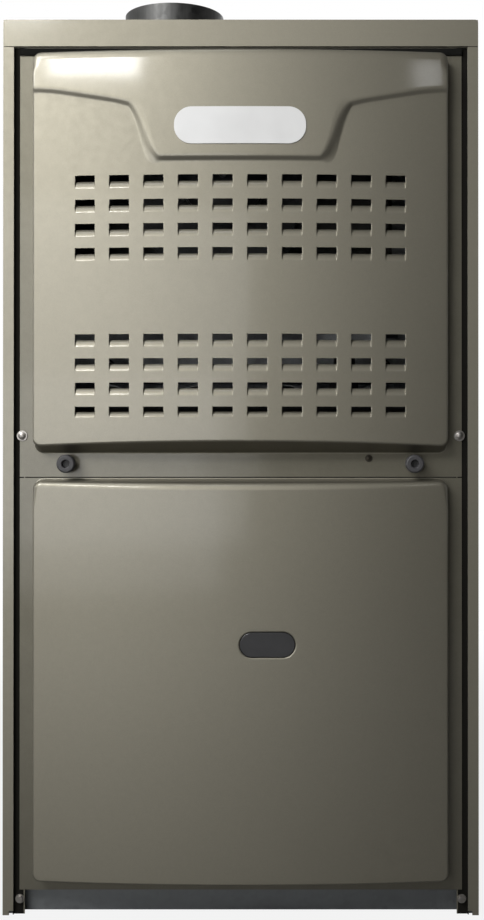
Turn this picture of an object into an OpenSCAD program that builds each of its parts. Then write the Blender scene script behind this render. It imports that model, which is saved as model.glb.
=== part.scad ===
// Forced air gas furnace, upflow, in a painted sheet steel cabinet with two bow-front doors.
// Front faces -Y, +Z is up, and the origin is on the floor under the middle of the whole body.

/* [Cabinet] */
// Width of the cabinet across its side walls
cabinet_w = 445; // [430:1:540]
// Depth of the cabinet from its front flanges to its back
cabinet_d = 705; // [690:1:760]
// Height of the cabinet to the top of its cap
cabinet_h = 838; // [828:1:880]
// Thickness of the cabinet and door sheet
sheet_t = 1; // [0.8:0.1:1.4]
// Width of the flange folded in at each front edge
outer_flange_w = 10; // [8:1:14]
// Width of the set-back flange that the doors lie against
inner_flange_w = 10; // [8:1:14]
// Height of the cap's front band
cap_band_h = 25; // [18:1:32]
// Height of the grey rail under the lower door
rail_h = 22.5; // [18:0.5:30]
// How far the grey rail stands behind the front flanges
rail_setback = 15; // [12:1:24]
// Width of the flanges folded in at the top and bottom of the cabinet
frame_flange_w = 20; // [14:1:26]

/* [Doors] */
// How far the crown of the doors stands in front of the cabinet's flanges
door_proud = 25; // [22:1:30]
// How far the door's flat border lies behind the cabinet's flanges
door_recess = 3; // [2:0.5:4]
// Gap between a door and the flange beside it
door_side_gap = 3; // [2:0.5:5]
// Width of the door's flat border at each side
door_margin = 17; // [14:1:22]
// Height of the joint between the two doors
door_joint_z = 409; // [400:1:420]
// Gap between the two doors
door_joint_gap = 1; // [0.6:0.2:2]
// How far the doors bow forward between their two sides
bow_rise = 12; // [8:1:16]
// Corner radius of the raised fields
field_corner_r = 7.5; // [5:0.5:10]
// Height of the flat border under the upper door's raised field
upper_border_h = 23; // [20:1:28]
// Lean of the wall under the upper door's raised field
upper_wall_deg = 20; // [10:1:30]
// Lean of the wall over the lower door's raised field
lower_wall_deg = 15; // [8:1:25]
// Height of the flat border under the lower door's raised field
lower_border_h = 12.5; // [10:0.5:16]

/* [Brow and badge plate] */
// How far the brow stands out at its lower edge
brow_rise = 3; // [2:0.25:4]
// How far the brow reaches down at the two sides
brow_side_h = 35; // [28:1:42]
// How far the brow reaches down where its shield begins
brow_shoulder_h = 46; // [40:1:52]
// How far the shield reaches down
shield_h = 100; // [90:1:108]
// Width of the shield at its top
shield_w = 190; // [170:1:210]
// Width of the plain badge plate
badge_w = 121; // [90:1:130]
// Height of the plain badge plate
badge_h = 34; // [24:1:38]
// Thickness of the badge plate
badge_t = 1.2; // [0.8:0.1:2]

/* [Louvres] */
// Louvres in each row
louvre_columns = 10; // [6:1:11]
// Width of one louvre
louvre_w = 18.3; // [14:0.5:22]
// Height of one louvre
louvre_h = 11.3; // [8:0.5:13]
// Distance from one louvre to the next in its row
louvre_pitch_x = 31.85; // [28:0.5:33]
// Distance from one row to the next
louvre_pitch_z = 22.3; // [18:0.5:24]
// Top of the upper group under the top of the raised field
upper_group_drop = 115.5; // [112:1:122]
// Height left plain between the two groups
group_gap = 68.3; // [50:0.1:90]
// Bottom of the lower group over the foot of the raised field
lower_group_rise = 30.8; // [24:0.1:40]
// How far a louvre's flap is pressed in
louvre_depth = 6; // [4:0.5:8]

/* [Fastenings and window] */
// Distance of a thumbscrew from the side edge of the door
thumb_inset = 48; // [44:1:70]
// Diameter of a thumbscrew's grip
thumb_d = 17; // [14:0.5:20]
// Diameter of a thumbscrew's stud
stud_d = 6; // [5:0.5:8]
// Diameter of a dome head on the door's border
dome_d = 10; // [8:0.5:12]
// Width of the oval sight glass
glass_w = 51; // [40:1:60]
// Height of the oval sight glass
glass_h = 23; // [18:1:28]
// Sight glass to the right of the middle
glass_x = 25; // [0:1:60]
// Height of the sight glass
glass_z = 256; // [200:1:300]

/* [Flue] */
// Outer diameter of the flue collar
collar_d = 101.6; // [76.2, 101.6]
// Collar height over the cap
collar_h = 45; // [35:1:60]
// Collar to the left of the middle
collar_left = 72; // [60:1:80]
// Collar axis behind the front flanges
collar_back = 137; // [130:1:142]

/* [Burner compartment] */
// Depth of the burner compartment behind the front flanges
vestibule_d = 235; // [230:1:245]
// Number of heat exchanger cells, each with its burner
cell_count = 4; // [4]
// Distance between the cells
cell_pitch = 88; // [80:1:92]
// Thickness of a cell's pressed channel
cell_t = 28; // [22:1:32]
// Gap between the cells and the liner on the back
cell_back_gap = 56; // [46:1:120]
// Height of the flat web between two passes of a cell
pass_web = 34; // [28:1:36]
// Length of a burner
burner_l = 150; // [140:1:155]
// Outer diameter of the manifold pipe
manifold_d = 21.3; // [17:0.1:22]
// Diameter of the gas valve's inlet bore
gas_inlet_d = 19.8; // [14:0.1:22]
// Diameter of the gas pipe hole in each side wall
gas_hole_d = 38; // [30:1:44]
// Diameter of the wiring hole in the left side wall
wire_hole_d = 22.2; // [20:0.1:28]
// Diameter of the draught inducer's wheel
inducer_wheel_d = 130; // [110:1:134]
// Depth of the draught inducer's housing
inducer_housing_d = 70; // [60:1:72]
// Diameter of the inducer's motor
inducer_motor_d = 84; // [70:1:90]

/* [Blower] */
// Diameter of the blower wheel
wheel_d = 254; // [230:1:258]
// Width of the blower wheel
wheel_w = 203; // [170:1:206]
// Number of blades in the blower wheel
blade_count = 42; // [30:1:48]
// Width of the blower housing
housing_w = 250; // [240:1:270]
// Diameter of the blower motor
motor_d = 140; // [120:1:144]
// Length of the blower motor
motor_l = 122; // [100:1:126]
// Blower wheel axis in front of the cabinet's back
blower_back = 275; // [250:1:280]
// Diameter of the blower shaft
shaft_d = 12.7; // [10:0.1:14]

/* [Clearances] */
// Gap left between pieces that lie against each other
fit = 0.2; // [0.1:0.05:0.3]
// Gap between a door and what it closes on
seat_gap = 0.3; // [0.2:0.05:0.5]
// Gap round a shaft, stud or button that turns or slides
run_gap = 0.08; // [0.04:0.01:0.1]

/* [Hidden] */
$fn = 48;
paint = [0.68, 0.66, 0.6];
zinc = [0.55, 0.57, 0.58];
foil = [0.75, 0.76, 0.78];
blued = [0.4, 0.42, 0.46];
dark = [0.15, 0.15, 0.16];
brass = [0.76, 0.6, 0.3];
board_green = [0.13, 0.36, 0.2];

// Main planes
half_w = cabinet_w / 2;
inside_w = half_w - sheet_t;
brow_top_lift = 0.3;
brow_deg = atan((brow_rise - brow_top_lift) / shield_h);
badge_drop = 0.71 * shield_h;
badge_reach = brow_top_lift + (badge_drop + badge_h / 2) * tan(brow_deg) + badge_t / cos(brow_deg);
crown_y = badge_reach - (cabinet_d + door_proud + badge_reach) / 2;
front_y = crown_y + door_proud;
back_y = front_y + cabinet_d;
plate_y = front_y + door_recess;
plate_back = plate_y + sheet_t;
seat_y = plate_back + seat_gap;
seat_back = seat_y + sheet_t;
wall_top = cabinet_h - sheet_t;
band_z = cabinet_h - cap_band_h;
flange_top = band_z - 0.6;
clear_half = half_w - outer_flange_w - inner_flange_w;
deck_drop = 12;
deck_z = door_joint_z - deck_drop;
deck_top = deck_z + sheet_t;
vest_y = front_y + vestibule_d;
cap_back = vest_y + 2;

// Doors
door_w = cabinet_w - 2 * (outer_flange_w + door_side_gap);
field_w = door_w - 2 * door_margin;
bow_r = (pow(field_w / 2, 2) + pow(bow_rise, 2)) / (2 * bow_rise);
upper_z0 = door_joint_z + door_joint_gap / 2;
upper_z1 = band_z - 1.5;
upper_field_z0 = upper_z0 + upper_border_h;
upper_field_z1 = upper_z1 - 8;
lower_z0 = rail_h + 0.5;
lower_z1 = door_joint_z - door_joint_gap / 2;
lower_field_z0 = lower_z0 + lower_border_h;
lower_field_z1 = lower_z1 - 1.7;
badge_z = upper_field_z1 - badge_drop;
group_h = (upper_field_z1 - upper_field_z0 - upper_group_drop - group_gap - lower_group_rise) / 2;
louvre_rows = floor((group_h - louvre_h) / louvre_pitch_z + 0.01) + 1;
lower_group_drop = upper_group_drop + group_h + group_gap;

// Thumbscrews and screws on the doors
thumb_x = door_w / 2 - thumb_inset;
thumb_z = upper_z0 + 0.54 * upper_border_h;
thumb_l = 19;
dome_z = upper_field_z0 + 15.5;
dome_x = door_w / 2 - 4.5;
dome_shank_d = 4;
small_screw_x = thumb_x - 41.5;
small_screw_d = 7;
small_screw_z = thumb_z + 5;
lip_top = thumb_z + 16;
liner_t = 12;

// Flue, collector box and draught inducer
flue_x = -collar_left;
flue_y = front_y + collar_back;
collar_t = 0.7;
collar_neck = 0.6;
collar_low = 32;
collector_d = 62;
inducer_mouth_r = 30;
collector_lip = 14;
collector_y = vest_y - collector_d;
inducer_gap = 9;
inducer_r = inducer_wheel_d / 2 + inducer_gap;
inducer_step = 6;
inducer_out_w = 70;
inducer_x = flue_x - inducer_out_w / 2 + inducer_r + 2.5 * inducer_step;
inducer_front = collector_y - inducer_housing_d;
transition_h = 25;
inducer_z = wall_top - collar_low - transition_h - inducer_r - 6;
inducer_top = wall_top - collar_low - transition_h;
motor_gap = 14;
inducer_motor_l = 60;
inducer_motor_y = inducer_front - motor_gap;
inducer_shaft_r = 4;

// Heat exchanger cells
pass_h = [56, 46, 38, 32];
cell_z0 = deck_top + 44;
cell_rim = 8;
cell_y0 = vest_y + sheet_t;
cell_l = back_y - sheet_t - fit - liner_t - cell_back_gap - cell_y0;
cell_skin = 1;
inlet_r = 23;
outlet_r = 14;
function sum_to(list, n) = n == 0 ? 0 : list[n - 1] + sum_to(list, n - 1);
function pass_z(i) = cell_z0 + cell_rim + sum_to(pass_h, i) + i * pass_web + pass_h[i] / 2;
function cell_x(i) = (i - (cell_count - 1) / 2) * cell_pitch;
burner_z = pass_z(0);
cell_z1 = pass_z(3) + pass_h[3] / 2 + cell_rim;
collector_z0 = min(inducer_z - inducer_mouth_r - 4, pass_z(3) - outlet_r - 36);
collector_z1 = max(inducer_z + inducer_mouth_r, pass_z(3) + 30) + collector_lip;
collector_half = cell_x(cell_count - 1) + 22;

// Burners, manifold and gas valve
burner_gap = 8;
burner_y0 = vest_y - burner_gap - burner_l;
box_half = cell_x(cell_count - 1) + 36;
box_h = 30;
limit_z = (burner_z + box_h + collector_z0) / 2;
box_t = 1.2;
manifold_y = burner_y0 - 22;
valve_x = 100;
valve_half = 38;
valve_h = 62;
valve_z0 = burner_z + 52;
valve_axis_z = valve_z0 + valve_h / 2;
valve_front = manifold_y - 34;
valve_boss_l = 14;
valve_bore_l = 20;
knob_x = valve_x - 18;
knob_post_r = 3;
button_r = 2.6;
button_travel = 2;
rollout_x = box_half - 22;
rollout_z = burner_z + box_h + 13;
rollout_y = vest_y - 62;
rollout_r = 9.5;
rollout_t = 12;

// Pressure switch, its hose and the wiring box on the left wall
hose_r = 4;
hose_bore = 2.6;
barb_r = 2.5;
hose_bend = 20;
hose_y = collector_y - inducer_housing_d / 2;
switch_z = inducer_z - 96;
switch_r = 32;
switch_t = 28;
switch_x = -inside_w + 6 + switch_t;
barb_l = 12;
tap_z = inducer_z - 14;
tap_x = inducer_x - inducer_r - 2.5 * inducer_step;
seam_w = 8;
wire_y0 = seat_back + 4;
wire_y = wire_y0 + 32;
wire_z = inducer_z + 40;

// Blower
blower_y = back_y - blower_back;
blower_step = 20;
blower_r = wheel_d / 2 + 15;
blower_drop = 196;
blower_z = deck_z - blower_drop;
blower_tongue = 115;
plate_t = 1.2;
inlet_hole_r = wheel_d / 2 - 24;
blade_t = 0.8;
blade_deep = 18;
blade_r = 14;
motor_x1 = -8;
band_w = 24;
hub_r = 17;
outlet_y0 = blower_y - blower_step / 2 + blower_r * cos(blower_tongue);
outlet_y1 = blower_y + blower_step / 2 + blower_r + 2 * blower_step;

// Controls behind the lower door
tray_x0 = glass_x - 115;
tray_x1 = glass_x + 95;
tray_back = front_y + 78;
tray_deep = 42;
tray_z0 = glass_z - 66;
board_w = 150;
board_h = 104;
post_l = 9;
board_y = tray_back - post_l - 1.6;
plunger_r = 3.2;
plunger_x = clear_half - 52.5;
plunger_z = deck_z - 24;
switch_front = front_y - 2;

// ---------- shared shapes ----------

// A block between its lowest and highest corners.
module span(low, high) {
    translate(low) cube(high - low);
}

module both_sides() {
    children();
    mirror([1, 0, 0]) children();
}

// Carries a drawing in X and Z through from y0 to y1.
module through_y(y0, y1) {
    translate([0, y1, 0]) rotate([90, 0, 0]) linear_extrude(y1 - y0) children();
}

// Carries a drawing in Y and Z through from x0 to x1.
module through_x(x0, x1) {
    translate([x0, 0, 0]) rotate([90, 0, 90]) linear_extrude(x1 - x0) children();
}

module rod_x(r, x0, x1, y, z) {
    translate([x0, y, z]) rotate([0, 90, 0]) cylinder(r = r, h = x1 - x0);
}

module rod_y(r, y0, y1, x, z) {
    translate([x, y1, z]) rotate([90, 0, 0]) cylinder(r = r, h = y1 - y0);
}

// A round piece turned about an axis along Y: its profile is drawn as radius and distance in +Y.
module turned_y(x, y, z) {
    translate([x, y, z]) rotate([-90, 0, 0]) rotate_extrude() children();
}

// A round piece turned about an axis along X.
module turned_x(x, y, z) {
    translate([x, y, z]) rotate([0, 90, 0]) rotate_extrude() children();
}

module rounded(w, h, r) {
    square([w - 2 * r, h], center = true);
    square([w, h - 2 * r], center = true);
    for (x = [-1, 1], z = [-1, 1]) translate([x * (w / 2 - r), z * (h / 2 - r)]) circle(r);
}

// A bar with rounded ends, as drawn for the passes of a cell.
module lane(p, q, h) {
    r = min(h / 2, 14);
    low = [min(p[0], q[0]) - h / 2, min(p[1], q[1]) - h / 2];
    high = [max(p[0], q[0]) + h / 2, max(p[1], q[1]) + h / 2];
    translate((low + high) / 2) rounded(high[0] - low[0], high[1] - low[1], r);
}

// Replaces each corner [x, z, radius] of an outline by an arc.
function unit(v) = v / norm(v);
function corner_arc(a, b, c, r, steps) =
    let (u = unit([a[0] - b[0], a[1] - b[1]]), v = unit([c[0] - b[0], c[1] - b[1]]))
    let (half = acos(u * v) / 2, reach = r / tan(half), mid = unit(u + v))
    let (centre = [b[0], b[1]] + mid * (r / sin(half)))
    let (from = [b[0], b[1]] + u * reach - centre, to = [b[0], b[1]] + v * reach - centre)
    let (side = from[0] * to[1] - from[1] * to[0] > 0 ? 1 : -1, turn = 180 - 2 * half)
    [for (i = [0:steps]) let (t = side * turn * i / steps)
        centre + [from[0] * cos(t) - from[1] * sin(t), from[0] * sin(t) + from[1] * cos(t)]];
function eased(pts, steps = 5) = [for (i = [0:len(pts) - 1])
    let (n = len(pts), a = pts[(i + n - 1) % n], b = pts[i], c = pts[(i + 1) % n])
    each b[2] > 0 ? corner_arc(a, b, c, b[2], steps) : [[b[0], b[1]]]];

// A scroll drawn from three quarter arcs whose radius grows by a step at each quarter, with its outlet
// upward on the right. A wall stands outside the drawing by grow, and the outlet ends at top.
module scroll(r, step, tongue, top, grow) {
    half = step / 2;
    mouth_x = -half + r * cos(tongue) - grow;
    mouth_z = -half + r * sin(tongue);
    difference() {
        union() {
            translate([-half, -half]) circle(r + grow, $fn = 96);
            intersection() {
                translate([half, -half]) circle(r + step + grow, $fn = 96);
                translate([-3 * r, -3 * r]) square([3 * r + half, 3 * r - half]);
            }
            intersection() {
                translate([half, half]) circle(r + 2 * step + grow, $fn = 96);
                translate([half, -3 * r]) square([3 * r, 3 * r + half]);
            }
            translate([mouth_x, half]) square([half + r + 2 * step + grow - mouth_x, top - half]);
        }
        translate([-3 * r, mouth_z + 40]) square([3 * r + mouth_x, r]);
    }
}

// ---------- cabinet ----------

// Section of the folded front edge on the left: outer flange, step back, and set-back flange.
module front_edge_section() {
    x0 = -half_w;
    x1 = x0 + outer_flange_w;
    polygon([
        [x0, front_y], [x1, front_y], [x1, seat_y], [-clear_half, seat_y],
        [-clear_half, seat_back], [x1 - sheet_t, seat_back],
        [x1 - sheet_t, front_y + sheet_t], [x0, front_y + sheet_t]
    ]);
}

// A line scored round a panel that can be knocked out for a return duct.
module scored_outline(w, h) {
    difference() {
        square([w, h], center = true);
        square([w - 3, h - 3], center = true);
    }
}

module cabinet_wrapper() {
    band_back = front_y + sheet_t + fit;
    rim_y = cap_back + fit;
    score = 0.3;
    return_w = 380;
    return_h = 280;
    color(paint) difference() {
        union() {
            both_sides() {
                through_x(-half_w, -inside_w) polygon([
                    [front_y, 0], [back_y, 0], [back_y, wall_top], [rim_y, wall_top],
                    [rim_y, wall_top - fit], [band_back, wall_top - fit],
                    [band_back, flange_top], [front_y, flange_top]
                ]);
                difference() {
                    linear_extrude(flange_top) front_edge_section();
                    span([-half_w + outer_flange_w - 4, front_y - 1, -1],
                         [-half_w + outer_flange_w + 1, front_y + 2 * sheet_t, 4]);
                }
                span([-half_w, rim_y, wall_top - sheet_t],
                     [-inside_w + frame_flange_w, back_y, wall_top]);
                span([-half_w, front_y + rail_setback + 12, 0],
                     [-inside_w + frame_flange_w, back_y, sheet_t]);
            }
            span([-half_w, back_y - sheet_t, 0], [half_w, back_y, wall_top]);
            span([-half_w, back_y - frame_flange_w, wall_top - sheet_t], [half_w, back_y, wall_top]);
            span([-half_w, back_y - frame_flange_w, 0], [half_w, back_y, sheet_t]);
        }
        rod_x(gas_hole_d / 2, -half_w - 1, half_w + 1, manifold_y, valve_axis_z);
        rod_x(wire_hole_d / 2, -half_w - 1, -inside_w + 1, wire_y, wire_z);
        both_sides() {
            rod_y(dome_shank_d / 2 + run_gap, seat_y - 1, seat_back + 1, dome_x, dome_z);
            through_x(half_w - score, half_w + 1) translate([back_y - 60 - return_w / 2, 50 + return_h / 2])
                scored_outline(return_w, return_h);
        }
    }
}

module top_cap() {
    corner = 3;
    header_h = 22;
    color(paint) difference() {
        union() {
            span([-half_w, front_y + sheet_t, wall_top], [half_w, cap_back, cabinet_h]);
            through_y(front_y, front_y + sheet_t) polygon(eased([
                [-half_w, band_z, 0], [half_w, band_z, 0],
                [half_w, cabinet_h, corner], [-half_w, cabinet_h, corner]
            ]));
            span([-inside_w + fit, front_y, band_z], [inside_w - fit, plate_y - fit, band_z + sheet_t]);
            span([-inside_w + fit, seat_y, upper_z1 - header_h], [inside_w - fit, seat_back, cabinet_h]);
        }
        translate([flue_x, flue_y, wall_top - 1]) cylinder(r = collar_d / 2 + 1, h = sheet_t + 2);
        both_sides() span([-half_w, seat_y - 1, 0], [-clear_half + fit, seat_back + 1, flange_top + fit]);
    }
}

module flue_collar() {
    r = collar_d / 2;
    low = wall_top - collar_low;
    high = cabinet_h + collar_h;
    neck = r - collar_neck;
    color(zinc) translate([flue_x, flue_y, 0]) rotate_extrude($fn = 96) polygon([
        [neck - collar_t, low], [neck, low], [neck, cabinet_h], [r + 12, cabinet_h],
        [r + 12, cabinet_h + collar_t], [r, cabinet_h + collar_t], [r, high], [r - collar_t, high],
        [r - collar_t, cabinet_h + collar_t], [neck - collar_t, cabinet_h]
    ]);
}

module bottom_rail() {
    y0 = front_y + rail_setback;
    x1 = inside_w - fit;
    color(zinc) {
        span([-x1, y0, 0], [x1, y0 + sheet_t, rail_h]);
        span([-x1, y0, rail_h - sheet_t], [x1, y0 + 12, rail_h]);
        span([-x1, y0, 0], [x1, y0 + 10, sheet_t]);
        both_sides() {
            span([x1 - sheet_t, seat_back, 0], [x1, y0 + sheet_t, rail_h]);
            span([clear_half + 2, seat_back, 0], [x1, seat_back + sheet_t, rail_h]);
        }
    }
}

module bottom_panel() {
    x1 = inside_w - fit;
    color(zinc) {
        span([-x1, front_y + rail_setback + 12.5, sheet_t], [x1, back_y - sheet_t - fit, 2 * sheet_t]);
        both_sides() for (y = [0.3, 0.7])
            span([-x1 + 40, front_y + cabinet_d * y, 2 * sheet_t],
                 [-30, front_y + cabinet_d * y + 12, 2 * sheet_t + 3]);
    }
}

module blower_deck() {
    x1 = inside_w - fit;
    x2 = clear_half - fit;
    y1 = back_y - sheet_t - fit;
    side_lip = 16;
    color(zinc) difference() {
        union() {
            span([-x2, seat_y, deck_z], [x2, y1, deck_top]);
            span([-x1, seat_back + fit, deck_z], [x1, y1, deck_top]);
            span([-x2, seat_y, deck_z - 8], [x2, seat_back, lip_top]);
            both_sides() span([x1 - sheet_t, seat_back + fit, deck_z - side_lip], [x1, y1, deck_top]);
        }
        span([-housing_w / 2, outlet_y0, deck_z - 1], [housing_w / 2, outlet_y1, deck_top + 1]);
        both_sides() rod_y(stud_d / 2 + run_gap, seat_y - 1, seat_back + 1, thumb_x, thumb_z);
        rod_y(small_screw_d / 4 + run_gap, seat_y - 1, seat_back + 1, small_screw_x, small_screw_z);
    }
}

module vestibule_panel() {
    x1 = inside_w - fit;
    z1 = wall_top - sheet_t - fit;
    edge = 16;
    color(foil) difference() {
        union() {
            span([-x1, vest_y, deck_top], [x1, vest_y + sheet_t, z1]);
            both_sides() span([x1 - sheet_t, vest_y - edge, deck_top], [x1, vest_y, z1]);
            span([-x1, vest_y - edge, deck_top], [x1, vest_y, deck_top + sheet_t]);
        }
        for (i = [0:cell_count - 1]) {
            rod_y(inlet_r, vest_y - 1, vest_y + 2 * sheet_t, cell_x(i), burner_z);
            rod_y(outlet_r, vest_y - 1, vest_y + 2 * sheet_t, cell_x(i), pass_z(3));
        }
        rod_y(6, vest_y - 1, vest_y + 2 * sheet_t, 0, limit_z);
    }
}

// ---------- insulation ----------

module side_liner() {
    x0 = inside_w - fit - liner_t;
    y0 = vest_y + sheet_t + fit;
    y1 = back_y - sheet_t - liner_t - 2 * fit;
    span([x0, y0, deck_top + fit], [x0 + liner_t, y1, wall_top - sheet_t - fit]);
}

module left_liner() {
    color(foil) mirror([1, 0, 0]) side_liner();
}

module right_liner() {
    color(foil) side_liner();
}

module back_liner() {
    x1 = inside_w - fit;
    y1 = back_y - sheet_t - fit;
    color(foil) span([-x1, y1 - liner_t, deck_top + fit], [x1, y1, wall_top - sheet_t - fit]);
}

// ---------- heat exchanger ----------

// The four passes of a cell, drawn in Y and Z: back, forward, back, and forward to the outlet.
module passes(inset) {
    y0 = cell_y0 + 12;
    y1 = cell_y0 + cell_l - cell_rim;
    for (i = [0:3]) {
        h = pass_h[i] - 2 * inset;
        lane([y0 + pass_h[i] / 2, pass_z(i)], [y1 - pass_h[i] / 2, pass_z(i)], h);
    }
    for (i = [0:2]) {
        h = min(pass_h[i], pass_h[i + 1]) - 2 * inset;
        y = i % 2 == 0 ? y1 - pass_h[i + 1] / 2 : y0 + pass_h[i + 1] / 2;
        lane([y, pass_z(i)], [y, pass_z(i + 1)], h);
    }
}

module cell(i) {
    x = cell_x(i);
    y0 = cell_y0 + 20;
    color(blued) translate([x, 0, 0]) difference() {
        union() {
            through_x(-cell_skin, cell_skin)
                translate([cell_y0 + cell_l / 2 + 3, (cell_z0 + cell_z1) / 2])
                rounded(cell_l - 6, cell_z1 - cell_z0, 10);
            through_x(-cell_t / 2, cell_t / 2) passes(0);
            rod_y(inlet_r + cell_skin, cell_y0, y0, 0, burner_z);
            rod_y(outlet_r + cell_skin, cell_y0, y0, 0, pass_z(3));
        }
        through_x(-cell_t / 2 + cell_skin, cell_t / 2 - cell_skin) passes(cell_skin);
        rod_y(inlet_r, cell_y0 - 1, y0 + 1, 0, burner_z);
        rod_y(outlet_r, cell_y0 - 1, y0 + 1, 0, pass_z(3));
    }
}

// ---------- burners and gas ----------

// An inshot burner: bell mouth, throat, diffuser and flame holder, with a foot on the box floor.
module burner(i) {
    wall = 1;
    l = burner_l;
    color(zinc) translate([cell_x(i), 0, 0]) {
        turned_y(0, burner_y0, burner_z) polygon([
            [20, 0], [20 + wall, 0], [15, 0.1 * l], [13 + wall, 0.2 * l], [13 + wall, 0.36 * l],
            [17 + wall, 0.7 * l], [20 + wall, 0.78 * l], [20 + wall, l],
            [20, l], [20, 0.79 * l], [17, 0.71 * l], [13, 0.37 * l], [13, 0.2 * l], [14, 0.1 * l]
        ]);
        difference() {
            turned_y(0, burner_y0 + 0.88 * l, burner_z) polygon([[0, 0], [20.5, 0], [20.5, 4], [0, 4]]);
            for (a = [0:45:315])
                rod_y(3, burner_y0 + 0.8 * l, burner_y0 + l, 12 * cos(a), burner_z + 12 * sin(a));
            rod_y(5, burner_y0 + 0.8 * l, burner_y0 + l, 0, burner_z);
        }
        span([-14, burner_y0 + 0.26 * l, burner_z - box_h + box_t],
             [14, burner_y0 + 0.26 * l + 1.5, burner_z - 13.2]);
    }
}

module burner_box() {
    y0 = burner_y0 + 10;
    ear_y = manifold_y - 15;
    color(zinc) difference() {
        union() {
            span([-box_half, y0, burner_z - box_h], [box_half, vest_y, burner_z - box_h + box_t]);
            span([-box_half, rollout_y, burner_z + box_h - box_t], [box_half, vest_y, burner_z + box_h]);
            both_sides() {
                span([box_half - box_t, ear_y, burner_z - 15], [box_half, vest_y, burner_z + 15]);
                span([box_half - box_t, y0, burner_z - box_h], [box_half, vest_y, burner_z + box_h]);
                span([rollout_x - 13, rollout_y, burner_z + box_h - box_t],
                     [rollout_x + 13, rollout_y + box_t, rollout_z + 13]);
                span([box_half, vest_y - box_t, burner_z - box_h], [box_half + 10, vest_y, burner_z + box_h]);
            }
        }
        rod_x(manifold_d / 2 + fit, -box_half - 1, box_half + 1, manifold_y, burner_z);
        both_sides() rod_y(6, rollout_y - 1, rollout_y + box_t + 1, rollout_x, rollout_z);
    }
}

module manifold_pipe() {
    r = manifold_d / 2;
    x1 = box_half + 6;
    color(dark) difference() {
        union() {
            rod_x(r, -x1, x1, manifold_y, burner_z);
            both_sides() rod_x(r + 3, x1 - 1, x1 + 9, manifold_y, burner_z, $fn = 8);
            translate([valve_x, manifold_y, burner_z]) cylinder(r = r, h = valve_z0 - burner_z);
            translate([valve_x, manifold_y, burner_z + r]) cylinder(r = r + 3, h = 12);
        }
        rod_x(r - 2.8, -x1 + 2, x1 - 2, manifold_y, burner_z);
        translate([valve_x, manifold_y, burner_z]) cylinder(r = r - 2.8, h = valve_z0 - burner_z + 1);
    }
}

module gas_orifices() {
    y0 = manifold_y + manifold_d / 2;
    hex_l = 7;
    color(brass) for (i = [0:cell_count - 1]) difference() {
        union() {
            rod_y(7.3, y0, y0 + hex_l, cell_x(i), burner_z, $fn = 6);
            rod_y(4, y0 + hex_l - 0.5, burner_y0 - 1, cell_x(i), burner_z);
        }
        rod_y(1.1, y0 - 1, burner_y0, cell_x(i), burner_z);
    }
}

module gas_valve() {
    y1 = manifold_y + 30;
    x0 = valve_x - valve_half;
    x1 = valve_x + valve_half;
    boss_x = x1 + valve_boss_l;
    top = valve_z0 + valve_h;
    color([0.62, 0.64, 0.66]) difference() {
        union() {
            through_y(valve_front, y1) polygon(eased([
                [x0, valve_z0 + 6, 5], [x0 + 8, valve_z0, 5], [x1 - 8, valve_z0, 5], [x1, valve_z0 + 6, 5],
                [x1, top - 8, 5], [x1 - 10, top, 5], [x0 + 10, top, 5], [x0, top - 8, 5]
            ], 3));
            rod_x(17, x1 - 1, boss_x, manifold_y, valve_axis_z);
            translate([valve_x + 14, manifold_y, top - 1]) cylinder(r = 17, h = 24);
            translate([valve_x + 14, manifold_y, top + 23]) cylinder(r = 9, h = 8, $fn = 6);
            span([x0 + 10, manifold_y - 22, top - 1], [x0 + 32, manifold_y + 22, top + 20]);
            rod_y(16, valve_front - 2, valve_front + 1, knob_x, valve_axis_z);
            for (z = [valve_z0 + 12, top - 14])
                rod_y(4, valve_front - 3, valve_front + 1, x1 - 10, z, $fn = 6);
        }
        rod_x(gas_inlet_d / 2, boss_x - valve_bore_l, boss_x + 1, manifold_y, valve_axis_z);
        rod_y(knob_post_r + run_gap, valve_front - 3, valve_front + 10, knob_x, valve_axis_z);
    }
}

module gas_valve_knob() {
    face = valve_front - 2 - fit;
    color(dark) {
        rod_y(knob_post_r, face - 2, valve_front + 9, knob_x, valve_axis_z);
        turned_y(knob_x, face - 8, valve_axis_z) polygon([[0, 0], [11, 0], [12.5, 1.5], [13, 8], [0, 8]]);
        span([knob_x - 11, face - 12, valve_axis_z - 3], [knob_x + 11, face - 7, valve_axis_z + 3]);
    }
}

// ---------- combustion air and flue ----------

module collector_box() {
    t = 1;
    x1 = collector_half;
    color(foil) difference() {
        union() {
            span([-x1, collector_y, collector_z0], [x1, vest_y, collector_z1]);
            span([-x1 - 9, vest_y - t, collector_z0 - 9], [x1 + 9, vest_y, collector_z1 + 9]);
        }
        span([-x1 + t, collector_y + t, collector_z0 + t], [x1 - t, vest_y + 1, collector_z1 - t]);
        rod_y(inducer_mouth_r + 1, collector_y - 1, collector_y + t + 1, inducer_x, inducer_z);
    }
}

// The scroll of the draught inducer, seen from the front with its outlet up on the left.
module inducer_scroll(grow, top) {
    translate([inducer_x, inducer_z]) mirror([1, 0])
        scroll(inducer_r, inducer_step, 115, top - inducer_z, grow);
}

module inducer_housing() {
    t = 1.5;
    color(zinc) difference() {
        union() {
            through_y(inducer_front, collector_y) inducer_scroll(t, inducer_top);
            through_y(inducer_front + 30, inducer_front + 33) inducer_scroll(seam_w, inducer_top - 12);
            rod_x(barb_r, tap_x - seam_w - barb_l, tap_x - 1, hose_y, tap_z);
        }
        through_y(inducer_front + t, collector_y - t) inducer_scroll(0, inducer_top + 5);
        rod_y(inducer_mouth_r, collector_y - t - 1, collector_y + 1, inducer_x, inducer_z);
        rod_y(9, inducer_front - 1, inducer_front + t + 1, inducer_x, inducer_z);
    }
}

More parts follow.
